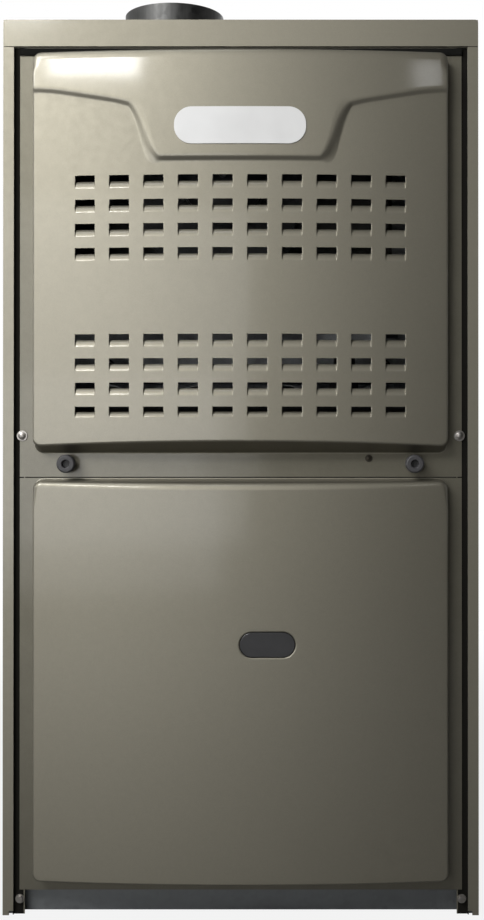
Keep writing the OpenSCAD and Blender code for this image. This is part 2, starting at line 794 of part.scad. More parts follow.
module inducer_motor() {
    r = inducer_motor_d / 2;
    y0 = inducer_motor_y - inducer_motor_l;
    color(dark) difference() {
        union() {
            turned_y(inducer_x, y0, inducer_z) polygon([
                [0, 0], [14, 0], [16, 3], [r - 10, 5], [r - 1, 12], [r - 1, 22], [r, 22], [r, 42],
                [r - 1, 42], [r - 1, 52], [r - 8, inducer_motor_l], [0, inducer_motor_l]
            ]);
            for (a = [30, 150, 270]) translate([inducer_x, 0, inducer_z]) rotate([0, a, 0]) {
                span([r - 14, inducer_motor_y - 4, -6], [r + 10, inducer_motor_y - 1, 6]);
                rod_y(4, inducer_motor_y - 2, inducer_front, r + 5, 0);
            }
        }
        rod_y(inducer_shaft_r + run_gap, y0 - 1, inducer_motor_y + 1, inducer_x, inducer_z);
    }
}

module inducer_wheel() {
    r = inducer_wheel_d / 2;
    y0 = inducer_front + 14;
    color(foil) {
        rod_y(inducer_shaft_r, inducer_motor_y - inducer_motor_l - 4, y0 + 30, inducer_x, inducer_z);
        rod_y(11, y0 - 3, y0 + 24, inducer_x, inducer_z);
        rod_y(r, y0, y0 + 1.2, inducer_x, inducer_z);
        for (i = [0:11]) translate([inducer_x, 0, inducer_z]) rotate([0, i * 30, 0])
            span([20, y0 + 1, -0.6], [r - 1, y0 + 34, 0.6]);
    }
}

module inducer_fan() {
    y0 = inducer_motor_y + 3;
    color(dark) difference() {
        union() {
            rod_y(9, y0, y0 + 8, inducer_x, inducer_z);
            for (i = [0:6]) translate([inducer_x, y0 + 4, inducer_z]) rotate([0, i * 360 / 7, 0])
                rotate([28, 0, 0]) span([7, -0.8, -7], [34, 0.8, 7]);
        }
        rod_y(inducer_shaft_r + run_gap / 4, y0 - 5, y0 + 14, inducer_x, inducer_z);
    }
}

// Square below, round above: carries the flue gas from the inducer into the collar.
module flue_transition() {
    t = 1.2;
    r = collar_d / 2 - collar_neck - collar_t - fit;
    z0 = inducer_top + fit;
    z1 = wall_top - collar_low - 1;
    w = inducer_out_w / 2 + 4;
    d = inducer_housing_d / 2;
    color(dark) translate([flue_x, flue_y, 0]) difference() {
        union() {
            hull() {
                translate([-w, -d, z0]) cube([2 * w, 2 * d, 2]);
                translate([0, 0, z1]) cylinder(r = r, h = 1);
            }
            translate([0, 0, z1]) cylinder(r = r, h = 14);
        }
        hull() {
            translate([-w + 5, -d + t, z0 - 0.01]) cube([2 * w - 10, 2 * d - 2 * t, 1]);
            translate([0, 0, z1]) cylinder(r = r - t, h = 1);
        }
        translate([0, 0, z1]) cylinder(r = r - t, h = 20);
    }
}

module pressure_switch() {
    x0 = -inside_w + fit;
    color(dark) difference() {
        union() {
            span([x0, hose_y - 16, switch_z - 44], [x0 + 1.5, hose_y + 16, switch_z + 44]);
            turned_x(x0 + 1.5, hose_y, switch_z) polygon([
                [0, 0], [14, 0], [14, 5], [switch_r - 3, 5], [switch_r, 7], [switch_r, 14],
                [switch_r - 3, 16], [20, 19], [16, switch_t + 5 - fit], [0, switch_t + 5 - fit]
            ]);
            rod_x(barb_r, switch_x, switch_x + barb_l, hose_y, switch_z);
        }
        rod_x(1.2, switch_x, switch_x + barb_l + 1, hose_y, switch_z);
    }
}

// Silicone tube from the pressure switch up to the tap on the inducer, in one plane.
module pressure_hose() {
    x0 = switch_x + 3;
    x1 = tap_x - seam_w - fit;
    rise_x = x0 + 12 + hose_bend;
    module stretch(r) {
        rod_x(r, x0, rise_x - hose_bend, hose_y, switch_z);
        translate([rise_x - hose_bend, hose_y, switch_z + hose_bend]) rotate([90, 0, 0])
            rotate_extrude(angle = -90) translate([hose_bend, 0]) circle(r, $fn = 24);
        translate([rise_x, hose_y, switch_z + hose_bend])
            cylinder(r = r, h = tap_z - switch_z - 2 * hose_bend);
        translate([rise_x + hose_bend, hose_y, tap_z - hose_bend]) rotate([90, 0, 0])
            rotate([0, 0, 90]) rotate_extrude(angle = 90) translate([hose_bend, 0]) circle(r, $fn = 24);
        rod_x(r, rise_x + hose_bend, x1, hose_y, tap_z);
    }
    color(dark) difference() {
        stretch(hose_r);
        rod_x(hose_bore, x0 - 1, x0 + barb_l, hose_y, switch_z);
        rod_x(hose_bore, x1 - barb_l, x1 + 1, hose_y, tap_z);
    }
}

// ---------- safety switches and sensors ----------

module rollout_switches() {
    y1 = rollout_y;
    color(dark) both_sides() difference() {
        union() {
            rod_y(rollout_r, y1 - rollout_t, y1, rollout_x, rollout_z);
            rod_y(rollout_r - 1.5, y1 - rollout_t - 2, y1, rollout_x, rollout_z);
            rod_y(5.5, y1 - 1, y1 + 5, rollout_x, rollout_z);
            for (s = [-1, 1]) span([rollout_x + s * 4 - 1.5, y1 - rollout_t - 9, rollout_z + 5],
                                   [rollout_x + s * 4 + 1.5, y1 - rollout_t - 1, rollout_z + 5.8]);
        }
        rod_y(button_r + run_gap, y1 - rollout_t - 3, y1 - 2, rollout_x, rollout_z);
    }
}

module reset_button(side) {
    y1 = rollout_y - 2 - button_travel - fit;
    color([0.7, 0.1, 0.08]) rod_y(button_r, rollout_y - rollout_t - 6, y1, side * rollout_x, rollout_z);
}

module reset_button_left() {
    reset_button(-1);
}

module reset_button_right() {
    reset_button(1);
}

module limit_switch() {
    color(dark) {
        span([-18, vest_y - 1.5, limit_z - 10], [18, vest_y, limit_z + 10]);
        rod_y(9.5, vest_y - 13, vest_y, 0, limit_z);
        rod_y(5.5, vest_y - 1, vest_y + 55, 0, limit_z);
        for (x = [-4, 4]) span([x - 1.5, vest_y - 22, limit_z - 3], [x + 1.5, vest_y - 12, limit_z + 3]);
    }
}

module ignitor() {
    x = -box_half;
    y = vest_y - 40;
    color([0.86, 0.84, 0.78]) {
        span([x - 14, y - 8, burner_z - 6], [x - fit, y + 8, burner_z + 6]);
        span([x - 6, y - 11, burner_z - 9], [x - fit, y + 11, burner_z + 9]);
    }
}

module flame_sensor() {
    x = box_half;
    y = vest_y - 40;
    color([0.86, 0.84, 0.78]) {
        span([x + fit, y - 10, burner_z - 7], [x + 3, y + 10, burner_z + 7]);
        rod_x(4.5, x + 2, x + 16, y, burner_z);
        rod_x(1.6, x + 15, x + 24, y, burner_z);
    }
}

module wiring_box() {
    t = 1.2;
    x0 = -inside_w + fit;
    x1 = x0 + 46;
    y1 = wire_y0 + 64;
    color(zinc) difference() {
        union() {
            span([x0, wire_y0, wire_z - 34], [x1, y1, wire_z + 34]);
            span([x0 + 1, wire_y0 - t, wire_z - 36], [x1 + 2, y1 + 2, wire_z + 36]);
        }
        span([x0 + t, wire_y0 + t, wire_z - 34 + t], [x1 - t, y1 - t, wire_z + 34 - t]);
        rod_x(wire_hole_d / 2, x0 - 1, x0 + t + 1, wire_y, wire_z);
    }
}

// ---------- blower ----------

// The scroll of the blower, drawn in Y and Z with its outlet up at the back.
module blower_outline(grow, top) {
    translate([blower_y, blower_z]) scroll(blower_r, blower_step, blower_tongue, top - blower_z, grow);
}

// Side plate on the right, with the rolled ring round its inlet.
module blower_side() {
    x0 = housing_w / 2 - plate_t;
    color(zinc) difference() {
        union() {
            through_x(x0, x0 + plate_t) blower_outline(6, deck_z - 12);
            through_x(x0, x0 + plate_t) blower_outline(0, deck_z - fit);
            turned_x(x0, blower_y, blower_z) polygon([
                [inlet_hole_r, -12], [inlet_hole_r + 2, -12], [inlet_hole_r + 5, 0], [inlet_hole_r + 14, 0],
                [inlet_hole_r + 14, plate_t + 2], [inlet_hole_r + 10, plate_t + 2], [inlet_hole_r + 2, 0],
                [inlet_hole_r, -6]
            ]);
        }
        rod_x(inlet_hole_r, x0 - 14, x0 + 6, blower_y, blower_z);
    }
}

module blower_side_left() {
    mirror([1, 0, 0]) blower_side();
}

module blower_side_right() {
    blower_side();
}

module blower_scroll() {
    x1 = housing_w / 2 - plate_t - fit;
    color(zinc) through_x(-x1, x1) difference() {
        blower_outline(plate_t, deck_z - fit);
        blower_outline(0, deck_z + 5);
    }
}

// A double-inlet wheel: forward-curved blades between two rims and a centre disc on a hub.
module blower_wheel() {
    r = wheel_d / 2;
    x0 = -wheel_w / 2;
    lean = 35;
    color(zinc) difference() {
        union() {
            for (i = [0:blade_count - 1]) translate([x0, blower_y, blower_z]) rotate([0, 90, 0])
                rotate([0, 0, i * 360 / blade_count]) translate([r - blade_deep / 2 - 1.5, 0, 0])
                rotate([0, 0, lean]) translate([0, -blade_r, 0])
                rotate([0, 0, 90 - 40]) rotate_extrude(angle = 80) translate([blade_r - blade_t, 0])
                square([blade_t, wheel_w]);
            for (x = [x0, -x0 - 3]) turned_x(x, blower_y, blower_z) translate([r - blade_deep - 1, 0])
                square([blade_deep + 1, 3]);
            turned_x(-1, blower_y, blower_z) translate([10, 0]) square([r - 12, 2]);
            rod_x(hub_r, -2, 34, blower_y, blower_z);
        }
        rod_x(shaft_d / 2 + run_gap / 4, -6, 40, blower_y, blower_z);
    }
}

module blower_motor() {
    r = motor_d / 2;
    x0 = motor_x1 - motor_l;
    color(dark) difference() {
        turned_x(x0, blower_y, blower_z) polygon([
            [0, 0], [20, 0], [24, 4], [r - 14, 6], [r - 3, 16], [r - 3, 30], [r, 30], [r, motor_l - 30],
            [r - 3, motor_l - 30], [r - 3, motor_l - 16], [r - 14, motor_l - 6], [24, motor_l - 4],
            [20, motor_l], [0, motor_l]
        ]);
        rod_x(shaft_d / 2 + run_gap, x0 + 20, motor_x1 + 1, blower_y, blower_z);
        for (a = [0:30:330]) translate([x0 + motor_l - 16, blower_y, blower_z]) rotate([a, 0, 0])
            span([-3, -4, r - 22], [20, 4, r - 8]);
    }
}

module blower_shaft() {
    color(foil) rod_x(shaft_d / 2, motor_x1 - motor_l + 24, 44, blower_y, blower_z);
}

// Band round the motor with three arms bolted to the ring of the left inlet.
module motor_mount() {
    r = motor_d / 2 + fit;
    x0 = motor_x1 - motor_l / 2 - band_w / 2;
    arm_x = -housing_w / 2 - 4;
    reach = inlet_hole_r + 12;
    color(zinc) {
        turned_x(x0, blower_y, blower_z) translate([r, 0]) square([2, band_w]);
        for (a = [30, 150, 270]) translate([0, blower_y, blower_z]) rotate([a, 0, 0]) {
            span([arm_x, r + 1, -7], [x0 + band_w, r + 3.5, 7]);
            span([arm_x, r + 1, -7], [arm_x + 2, reach, 7]);
        }
    }
}

module run_capacitor() {
    x0 = housing_w / 2 + fit;
    y = blower_y - blower_r + 6;
    z = blower_z - 96;
    color([0.72, 0.73, 0.74]) translate([x0 + 17, y, z]) {
        linear_extrude(58) rounded(30, 50, 14.5);
        translate([0, 0, 57]) for (s = [-1, 1]) translate([-4, s * 10 - 1, 0]) cube([8, 1, 9]);
        translate([-17, -12, 8]) cube([4, 24, 30]);
    }
}

// ---------- controls ----------

module control_tray() {
    t = 1.2;
    color(zinc) difference() {
        union() {
            span([tray_x0, tray_back - t, tray_z0], [tray_x1, tray_back, deck_z]);
            span([tray_x0, tray_back - tray_deep, deck_z - t], [tray_x1, tray_back, deck_z]);
            for (x = [tray_x0, tray_x1 - t])
                span([x, tray_back - tray_deep, tray_z0], [x + t, tray_back, deck_z]);
            span([tray_x0, tray_back - 16, tray_z0], [tray_x1, tray_back, tray_z0 + t]);
        }
        for (x = [tray_x0 + 30, tray_x1 - 30]) translate([x, tray_back - 24, deck_z - t - 1])
            cylinder(r = 9, h = t + 2);
    }
}

// Circuit board with its posts, relays, terminal strip, fuse and signal lamp.
module control_board() {
    x0 = glass_x - 60;
    z0 = glass_z - board_h / 2;
    t = 1.6;
    face = board_y;
    color(board_green) {
        span([x0, board_y, z0], [x0 + board_w, board_y + t, z0 + board_h]);
        for (x = [x0 + 6, x0 + board_w - 6], z = [z0 + 6, z0 + board_h - 6])
            rod_y(2.5, board_y + t - 0.5, tray_back - 1.2, x, z);
        for (i = [0:2]) span([x0 + 12 + i * 30, face - 16, z0 + 66], [x0 + 34 + i * 30, face + 0.5, z0 + 92]);
        span([x0 + board_w - 42, face - 13, z0 + 58], [x0 + board_w - 10, face + 0.5, z0 + 94]);
        span([x0 + 20, face - 11, z0 + 6], [x0 + 90, face + 0.5, z0 + 16]);
        for (i = [0:6]) rod_y(3, face - 13, face - 10, x0 + 25 + i * 10, z0 + 11);
        span([x0 + board_w - 46, face - 9, z0 + 8], [x0 + board_w - 26, face + 0.5, z0 + 24]);
        span([x0 + 12, face - 3, z0 + 30], [x0 + 40, face + 0.5, z0 + 50]);
        for (i = [0:3]) rod_y(5, face - 14, face + 0.5, x0 + 92 + (i % 2) * 14, z0 + 38 + floor(i / 2) * 13);
        rod_y(2.5, face - 6, face + 0.5, x0 + 64, z0 + 44);
    }
}

module transformer() {
    x0 = tray_x0 + 6;
    y1 = tray_back - 1.2;
    z0 = deck_z - 78;
    color([0.3, 0.3, 0.32]) {
        span([x0, y1 - 40, z0 + 8], [x0 + 46, y1 - 4, z0 + 62]);
        span([x0 + 5, y1 - 52, z0 + 18], [x0 + 41, y1 - 2, z0 + 52]);
        span([x0 - 2, y1 - 2, z0], [x0 + 48, y1, z0 + 70]);
        span([x0 - 2, y1 - 30, z0 + 30], [x0, y1, z0 + 40]);
    }
}

module door_switch() {
    y0 = switch_front;
    x = plunger_x;
    color([0.2, 0.2, 0.2]) difference() {
        union() {
            span([x - 14, y0, plunger_z - 9], [x + 14, y0 + 26, plunger_z + 9]);
            span([x - 16, y0 + 20, plunger_z - 11], [x + 16, y0 + 22, deck_z]);
            for (tab = [x - 7, x + 7])
                span([tab - 3, y0 + 25, plunger_z - 1], [tab + 3, y0 + 36, plunger_z + 1]);
        }
        rod_y(plunger_r + run_gap, y0 - 1, y0 + 18, x, plunger_z);
    }
}

module door_switch_plunger() {
    tip = face_y(plunger_x + plunger_r) + sheet_t + seat_gap;
    color([0.85, 0.84, 0.8]) {
        rod_y(plunger_r, tip + 1, switch_front + 13, plunger_x, plunger_z);
        rod_y(plunger_r - 0.8, tip, tip + 1.5, plunger_x, plunger_z);
    }
}

// Hex-washer screws that hold the cap, the rail and the deck to the wrapper.
module cabinet_screw(x, y, z, turn) {
    translate([x, y, z]) rotate(turn) {
        cylinder(r = 4.2, h = 1);
        cylinder(r = 3.2, h = 4, $fn = 6);
    }
}

module cabinet_screws() {
    color(foil) {
        both_sides() {
            cabinet_screw(clear_half + 4.5, seat_y, 14.3, [90, 0, 0]);
            for (y = [seat_back + 40, vest_y - 40]) cabinet_screw(half_w - 8, y, cabinet_h, [0, 0, 0]);
        }
    }
}

// ---------- doors ----------

// Where the bowed face of a door lies at a distance x from the middle.
function face_y(x) = crown_y + bow_r - sqrt(bow_r * bow_r - x * x);
function face_deg(x) = asin(x / bow_r);

// A long drawing that is rounded at its lower corners, and its foot line.
module field_outline(inset) {
    w = field_w - 2 * inset;
    r = field_corner_r - inset;
    l = 600;
    translate([-w / 2, inset + r]) square([w, l]);
    translate([-w / 2 + r, inset]) square([w - 2 * r, r + 1]);
    for (s = [-1, 1]) translate([s * (w / 2 - r), inset + r]) circle(r);
}

// One end of a raised field: side is 1 at its foot and -1 at its head, and the wall leans by deg.
module field_end(z, deg, side, inset) {
    long = 400;
    translate([0, plate_y, z]) rotate([-side * deg, 0, 0])
        through_y(-long, long) mirror([0, side > 0 ? 0 : 1]) field_outline(inset);
}

module bow(inset, z0, z1) {
    translate([0, crown_y + bow_r, z0]) cylinder(r = bow_r - inset, h = z1 - z0, $fn = 720);
}

module brow_outline() {
    half = field_w / 2 + 5;
    top = upper_field_z1;
    s = shield_w / 2;
    polygon(eased([
        [-half, top + 5, 0], [-half, top - brow_side_h, 0],
        [-s - 35, top - brow_shoulder_h + 3, 40], [-s, top - brow_shoulder_h, 10],
        [-s + 14, top - shield_h, 12], [s - 14, top - shield_h, 12],
        [s, top - brow_shoulder_h, 10], [s + 35, top - brow_shoulder_h + 3, 40],
        [half, top - brow_side_h, 0], [half, top + 5, 0]
    ]));
}

// The bow leant back, so that it stands out most at the foot of the shield.
module brow(inset) {
    l = shield_h + 60;
    intersection() {
        translate([0, crown_y - brow_top_lift, upper_field_z1]) rotate([-brow_deg, 0, 0])
            translate([0, bow_r, -l]) cylinder(r = bow_r - inset, h = l + 30, $fn = 720);
        through_y(crown_y - 10, plate_back + 5) offset(delta = -inset) brow_outline();
    }
}

module field(z0, deg0, z1, deg1, inset, browed) {
    intersection() {
        union() {
            bow(inset, z0 - 20, z1 + 20);
            if (browed) brow(inset);
        }
        field_end(z0, deg0, 1, inset);
        field_end(z1, deg1, -1, inset);
        span([-half_w, crown_y - 10, z0 - 20], [half_w, plate_back + (inset > 0 ? 5 : 0), z1 + 20]);
    }
}

// A door pan: flat border with a hollow raised field.
module door_pan(z0, z1, field_z0, deg0, field_z1, deg1, browed) {
    difference() {
        union() {
            span([-door_w / 2, plate_y, z0], [door_w / 2, plate_back, z1]);
            field(field_z0, deg0, field_z1, deg1, 0, browed);
        }
        field(field_z0, deg0, field_z1, deg1, sheet_t, browed);
    }
}

// Places a louvre drawing at every louvre of the upper door.
module each_louvre(w) {
    for (drop = [upper_group_drop, lower_group_drop], row = [0:louvre_rows - 1], i = [0:louvre_columns - 1]) {
        x = (i - (louvre_columns - 1) / 2) * louvre_pitch_x;
        z = upper_field_z1 - drop - row * louvre_pitch_z - louvre_h;
        translate([x, face_y(x), z]) rotate([0, 0, face_deg(x)]) through_x(-w / 2, w / 2) children();
    }
}

module upper_door() {
    flap_top = 0.52 * louvre_h;
    cheek = 0.8;
    color(paint) difference() {
        union() {
            door_pan(upper_z0, upper_z1, upper_field_z0, upper_wall_deg, upper_field_z1, 0, true);
            each_louvre(louvre_w + 2 * cheek) polygon([
                [0.3, -1.1], [louvre_depth + 0.7, flap_top - 0.7], [louvre_depth, flap_top],
                [0.3, flap_top + 1.5]
            ]);
        }
        each_louvre(louvre_w) polygon([
            [-2, 0], [0, 0], [louvre_depth, flap_top], [louvre_depth, louvre_h], [-2, louvre_h]
        ]);
        both_sides() {
            rod_y(stud_d / 2 + run_gap, plate_y - 1, plate_back + 1, thumb_x, thumb_z);
            rod_y(dome_shank_d / 2 + run_gap, plate_y - 1, plate_back + 1, dome_x, dome_z);
        }
        rod_y(small_screw_d / 4 + run_gap, plate_y - 1, plate_back + 1, small_screw_x, small_screw_z);
    }
}

module stadium(w, h) {
    square([w - h, h], center = true);
    for (s = [-1, 1]) translate([s * (w - h) / 2, 0]) circle(h / 2);
}

module lower_door() {
    color(paint) difference() {
        door_pan(lower_z0, lower_z1, lower_field_z0, 0, lower_field_z1, lower_wall_deg, false);
        through_y(crown_y - 1, plate_y) translate([glass_x, glass_z]) stadium(glass_w, glass_h);
    }
}

// A dark lens snapped into the lower door from behind, with a lip behind the sheet.
module sight_glass() {
    face = face_y(0);
    back = face_y(glass_x + glass_w / 2 + 4) + sheet_t + fit;
    color([0.1, 0.1, 0.1, 0.8]) translate([glass_x, 0, glass_z]) {
        through_y(face + 0.6, back + 1) stadium(glass_w - 2 * fit, glass_h - 2 * fit);
        through_y(back, back + 2) stadium(glass_w + 6, glass_h + 6);
    }
}

// A plain plate that follows the brow.
module badge_plate() {
    module leant(out) {
        translate([0, crown_y - brow_top_lift, upper_field_z1]) rotate([-brow_deg, 0, 0])
            translate([0, bow_r, -shield_h - 20]) cylinder(r = bow_r + out, h = shield_h + 20, $fn = 720);
    }
    color([0.94, 0.94, 0.94]) intersection() {
        difference() {
            leant(badge_t);
            leant(fit / 2);
        }
        translate([0, crown_y, badge_z]) through_y(-10, 10) rounded(badge_w, badge_h, badge_h / 2 - 1);
    }
}

module dome_screw(r, shank_r, length) {
    cylinder(r = r, h = 1);
    intersection() {
        translate([0, 0, 1 - r]) cylinder(r = r, h = 2 * r);
        translate([0, 0, -r * 0.8]) sphere(r * 1.28, $fn = 48);
        cylinder(r = r, h = 2 * r);
    }
    translate([0, 0, -length]) cylinder(r = shank_r, h = length + 0.5);
}

module door_screws() {
    color(foil) {
        both_sides() translate([dome_x, plate_y - fit / 4, dome_z]) rotate([90, 0, 0])
            dome_screw(dome_d / 2, dome_shank_d / 2, 8);
        translate([small_screw_x, plate_y - fit / 4, small_screw_z]) rotate([90, 0, 0])
            dome_screw(small_screw_d / 2, small_screw_d / 4, 8);
    }
}

// Black knob with a flared skirt and a socket in its end, on a steel stud.
module thumbscrew(side) {
    r = thumb_d / 2;
    y1 = plate_y - fit;
    l = thumb_l;
    color(dark) {
        translate([side * thumb_x, y1 - l, thumb_z]) rotate([-90, 0, 0]) rotate_extrude() polygon([
            [0, 5], [3.4, 5], [3.6, 0.4], [4.4, 0], [r - 1.2, 0], [r, 1.2], [r, 0.5 * l],
            [r - 2, 0.55 * l], [r - 2.4, l - 2], [r - 1.6, l], [0, l]
        ]);
        rod_y(stud_d / 2, y1 - 1, y1 + 12, side * thumb_x, thumb_z);
    }
}

module thumbscrew_left() {
    thumbscrew(-1);
}

module thumbscrew_right() {
    thumbscrew(1);
}

// ---------- what is drawn ----------

cabinet_wrapper();
top_cap();
flue_collar();
bottom_rail();
bottom_panel();
blower_deck();
vestibule_panel();
left_liner();
right_liner();
back_liner();
for (i = [1:cell_count]) {
    cell(i - 1);
    burner(i - 1);
}
burner_box();
manifold_pipe();
gas_orifices();
gas_valve();
gas_valve_knob();
collector_box();
inducer_housing();
inducer_motor();
inducer_wheel();
inducer_fan();
flue_transition();
pressure_switch();
pressure_hose();
rollout_switches();
reset_button_left();
reset_button_right();
limit_switch();
ignitor();
flame_sensor();
wiring_box();
blower_side_left();
blower_side_right();
blower_scroll();
blower_wheel();
blower_motor();
blower_shaft();
motor_mount();
run_capacitor();
control_tray();
control_board();
transformer();
door_switch();
door_switch_plunger();
cabinet_screws();
upper_door();
lower_door();
sight_glass();
badge_plate();
door_screws();
thumbscrew_left();
thumbscrew_right();
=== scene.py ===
import math

import bmesh
import bpy
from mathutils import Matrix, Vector


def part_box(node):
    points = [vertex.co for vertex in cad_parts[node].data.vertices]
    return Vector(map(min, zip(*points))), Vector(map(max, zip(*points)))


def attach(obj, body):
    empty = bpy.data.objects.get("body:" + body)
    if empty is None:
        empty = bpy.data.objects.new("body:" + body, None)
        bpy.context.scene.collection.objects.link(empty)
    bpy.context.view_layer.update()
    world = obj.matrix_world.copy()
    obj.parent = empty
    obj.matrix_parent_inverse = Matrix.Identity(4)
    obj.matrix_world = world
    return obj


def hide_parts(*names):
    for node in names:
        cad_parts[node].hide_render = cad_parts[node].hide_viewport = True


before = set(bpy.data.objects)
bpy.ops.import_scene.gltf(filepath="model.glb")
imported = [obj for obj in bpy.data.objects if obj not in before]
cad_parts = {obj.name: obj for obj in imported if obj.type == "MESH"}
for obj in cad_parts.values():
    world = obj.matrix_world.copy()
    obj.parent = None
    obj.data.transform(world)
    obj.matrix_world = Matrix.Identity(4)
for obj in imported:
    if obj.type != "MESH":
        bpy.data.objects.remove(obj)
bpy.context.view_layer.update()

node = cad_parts


# The place of the photographer: the lens at half the height of the cabinet, a little to the right of its
# middle and one and a quarter metres in front of it, tipped up by a quarter of a degree.
eye = (0.0285, -1.566, 0.4402)
camera_data = bpy.data.cameras.new("front_camera")
camera_data.sensor_fit = "VERTICAL"
camera_data.sensor_height = 36.0
camera_data.lens = 51.35
camera_data.shift_x = -0.0317
camera_data.shift_y = -0.0235
camera = bpy.data.objects.new("front_camera", camera_data)
camera.location = eye
camera.rotation_euler = (math.radians(90.25), 0.0, 0.0)
bpy.context.scene.collection.objects.link(camera)
bpy.context.scene.camera = camera


# The studio: a pale floor that takes the furnace's shadow and runs out into white, and a room that is white
# where the camera looks at it. Metal and glass see that white behind the furnace, and in front of it the dim
# part of the studio where the photographer stands.
floor_reach = 9.0
shadow_reach = 1.6
shadow_core = 0.5
floor_grey = (0.2, 0.2, 0.2, 1.0)
floor_white = 0.88
floor_white_from = 0.2
floor_white_to = 1.2
room_white_to = 0.5
room_dim = 0.02


def link(tree, output, inlet):
    tree.links.new(output, inlet)


def maths(tree, operation, first, second):
    """A value worked out from two others, each a socket or a number."""
    step = tree.nodes.new("ShaderNodeMath")
    step.operation = operation
    for inlet, value in zip(step.inputs, (first, second)):
        if isinstance(value, (int, float)):
            inlet.default_value = value
        else:
            link(tree, value, inlet)
    return step.outputs["Value"]


def smooth_step(tree, value, low, high):
    step = tree.nodes.new("ShaderNodeMapRange")
    step.interpolation_type = "SMOOTHSTEP"
    step.inputs["From Min"].default_value = low
    step.inputs["From Max"].default_value = high
    link(tree, value, step.inputs["Value"])
    return step.outputs["Result"]


def place_in(tree, coordinates="Object"):
    """The X, Y and Z of what is shaded."""
    place = tree.nodes.new("ShaderNodeTexCoord")
    split = tree.nodes.new("ShaderNodeSeparateXYZ")
    link(tree, place.outputs[coordinates], split.inputs["Vector"])
    return split.outputs


def looked_at(tree, backward):
    """1 for what the camera sees, and for what metal and glass see behind the furnace."""
    path = tree.nodes.new("ShaderNodeLightPath")
    mirrored = maths(tree, "MAXIMUM", path.outputs["Is Glossy Ray"], path.outputs["Is Transmission Ray"])
    return maths(tree, "MAXIMUM", path.outputs["Is Camera Ray"], maths(tree, "MULTIPLY", mirrored, backward))


def end_with(tree, share, plain, white, outlet):
    """Ends a shader: plain where the share is 0, white where it is 1."""
    mixed = tree.nodes.new("ShaderNodeMixShader")
    link(tree, share, mixed.inputs["Fac"])
    link(tree, plain, mixed.inputs[1])
    link(tree, white, mixed.inputs[2])
    link(tree, mixed.outputs["Shader"], tree.nodes.new(outlet).inputs["Surface"])


def piece_from(name, form):
    """A piece with a finished form as its mesh."""
    mesh = bpy.data.meshes.new(name)
    form.to_mesh(mesh)
    form.free()
    piece = bpy.data.objects.new(name, mesh)
    bpy.context.scene.collection.objects.link(piece)
    return piece


floor_form = bmesh.new()
bmesh.ops.create_circle(floor_form, cap_ends=True, radius=floor_reach, segments=96)
studio_floor = piece_from("studio_floor", floor_form)

floor_paint = bpy.data.materials.new("studio_floor")
floor_paint.use_nodes = True
studio_floor.data.materials.append(floor_paint)
tree = floor_paint.node_tree
tree.nodes.clear()
matt = tree.nodes.new("ShaderNodeBsdfDiffuse")
matt.inputs["Color"].default_value = floor_grey
white = tree.nodes.new("ShaderNodeEmission")
place = tree.nodes.new("ShaderNodeTexCoord")
distance = tree.nodes.new("ShaderNodeVectorMath")
distance.operation = "LENGTH"
link(tree, place.outputs["Object"], distance.inputs[0])
far = smooth_step(tree, distance.outputs["Value"], shadow_core, shadow_reach)
paleness = maths(tree, "ADD", maths(tree, "MULTIPLY", far, 1.0 - floor_white), floor_white)
seen = looked_at(tree, smooth_step(tree, place_in(tree)["Y"], floor_white_from, floor_white_to))
end_with(tree, maths(tree, "MULTIPLY", paleness, seen), matt.outputs["BSDF"], white.outputs["Emission"],
         "ShaderNodeOutputMaterial")

room = bpy.data.worlds.new("studio_room")
bpy.context.scene.world = room
room.use_nodes = True
tree = room.node_tree
tree.nodes.clear()
dim = tree.nodes.new("ShaderNodeBackground")
bright = tree.nodes.new("ShaderNodeBackground")
for air in (dim, bright):
    air.inputs["Color"].default_value = (1.0, 1.0, 1.0, 1.0)
dim.inputs["Strength"].default_value = room_dim
seen = looked_at(tree, smooth_step(tree, place_in(tree, "Generated")["Y"], 0.0, room_white_to))
end_with(tree, seen, dim.outputs["Background"], bright.outputs["Background"], "ShaderNodeOutputWorld")


def soft_box(name, place, target, width, height, watts):
    """A rectangular soft box that looks at a point of the furnace."""
    lamp_data = bpy.data.lights.new(name, "AREA")
    lamp_data.shape = "RECTANGLE"
    lamp_data.size = width
    lamp_data.size_y = height
    lamp_data.energy = watts
    lamp = bpy.data.objects.new(name, lamp_data)
    lamp.location = place
    lamp.rotation_euler = (Vector(target) - Vector(place)).to_track_quat("-Z", "Y").to_euler()
    bpy.context.scene.collection.objects.link(lamp)


# The main box stands high on the left. The low boxes fill the lower door, the brow boxes are mirrored in the
# brow, and the strips and the back box light the sides and the back.
front_middle = (0.0, -0.35, 0.45)
soft_box("main_box", (-1.12, -1.6, 1.56), front_middle, 0.6, 0.7, 28.5)
soft_box("low_box", (-0.66, -2.1, 0.6), front_middle, 1.4, 0.8, 7.6)
soft_box("foot_box", (-0.70, -2.1, 0.35), front_middle, 1.2, 0.5, 3.4)
soft_box("top_box", (-0.4, -1.1, 2.4), front_middle, 0.9, 0.6, 6.0)
soft_box("brow_box", (-0.632, -1.88, 1.485), (-0.15, -0.35, 0.78), 0.38, 0.23, 10.2)
soft_box("right_brow_box", (0.72, -1.85, 1.36), (0.17, -0.35, 0.78), 0.12, 0.16, 0.45)
soft_box("left_strip", (-2.2, -0.6, 0.9), (0.0, 0.0, 0.5), 0.3, 1.4, 10.0)
soft_box("right_strip", (2.2, -0.6, 0.9), (0.0, 0.0, 0.5), 0.3, 1.4, 2.0)
soft_box("back_box", (0.6, 2.4, 2.4), (0.0, 0.3, 0.5), 1.6, 1.0, 34.0)

bpy.context.scene.view_settings.view_transform = "Standard"


# The cabinet wrapper and its cap: prepainted steel sheet, one millimetre thick, folded on a press brake.
# The paint is a pebble-coloured metallic enamel: fine flake under a thin clear coat with a slight peel.
def surface_of(material):
    """The sockets of a material's surface."""
    return material.node_tree.nodes["Principled BSDF"].inputs


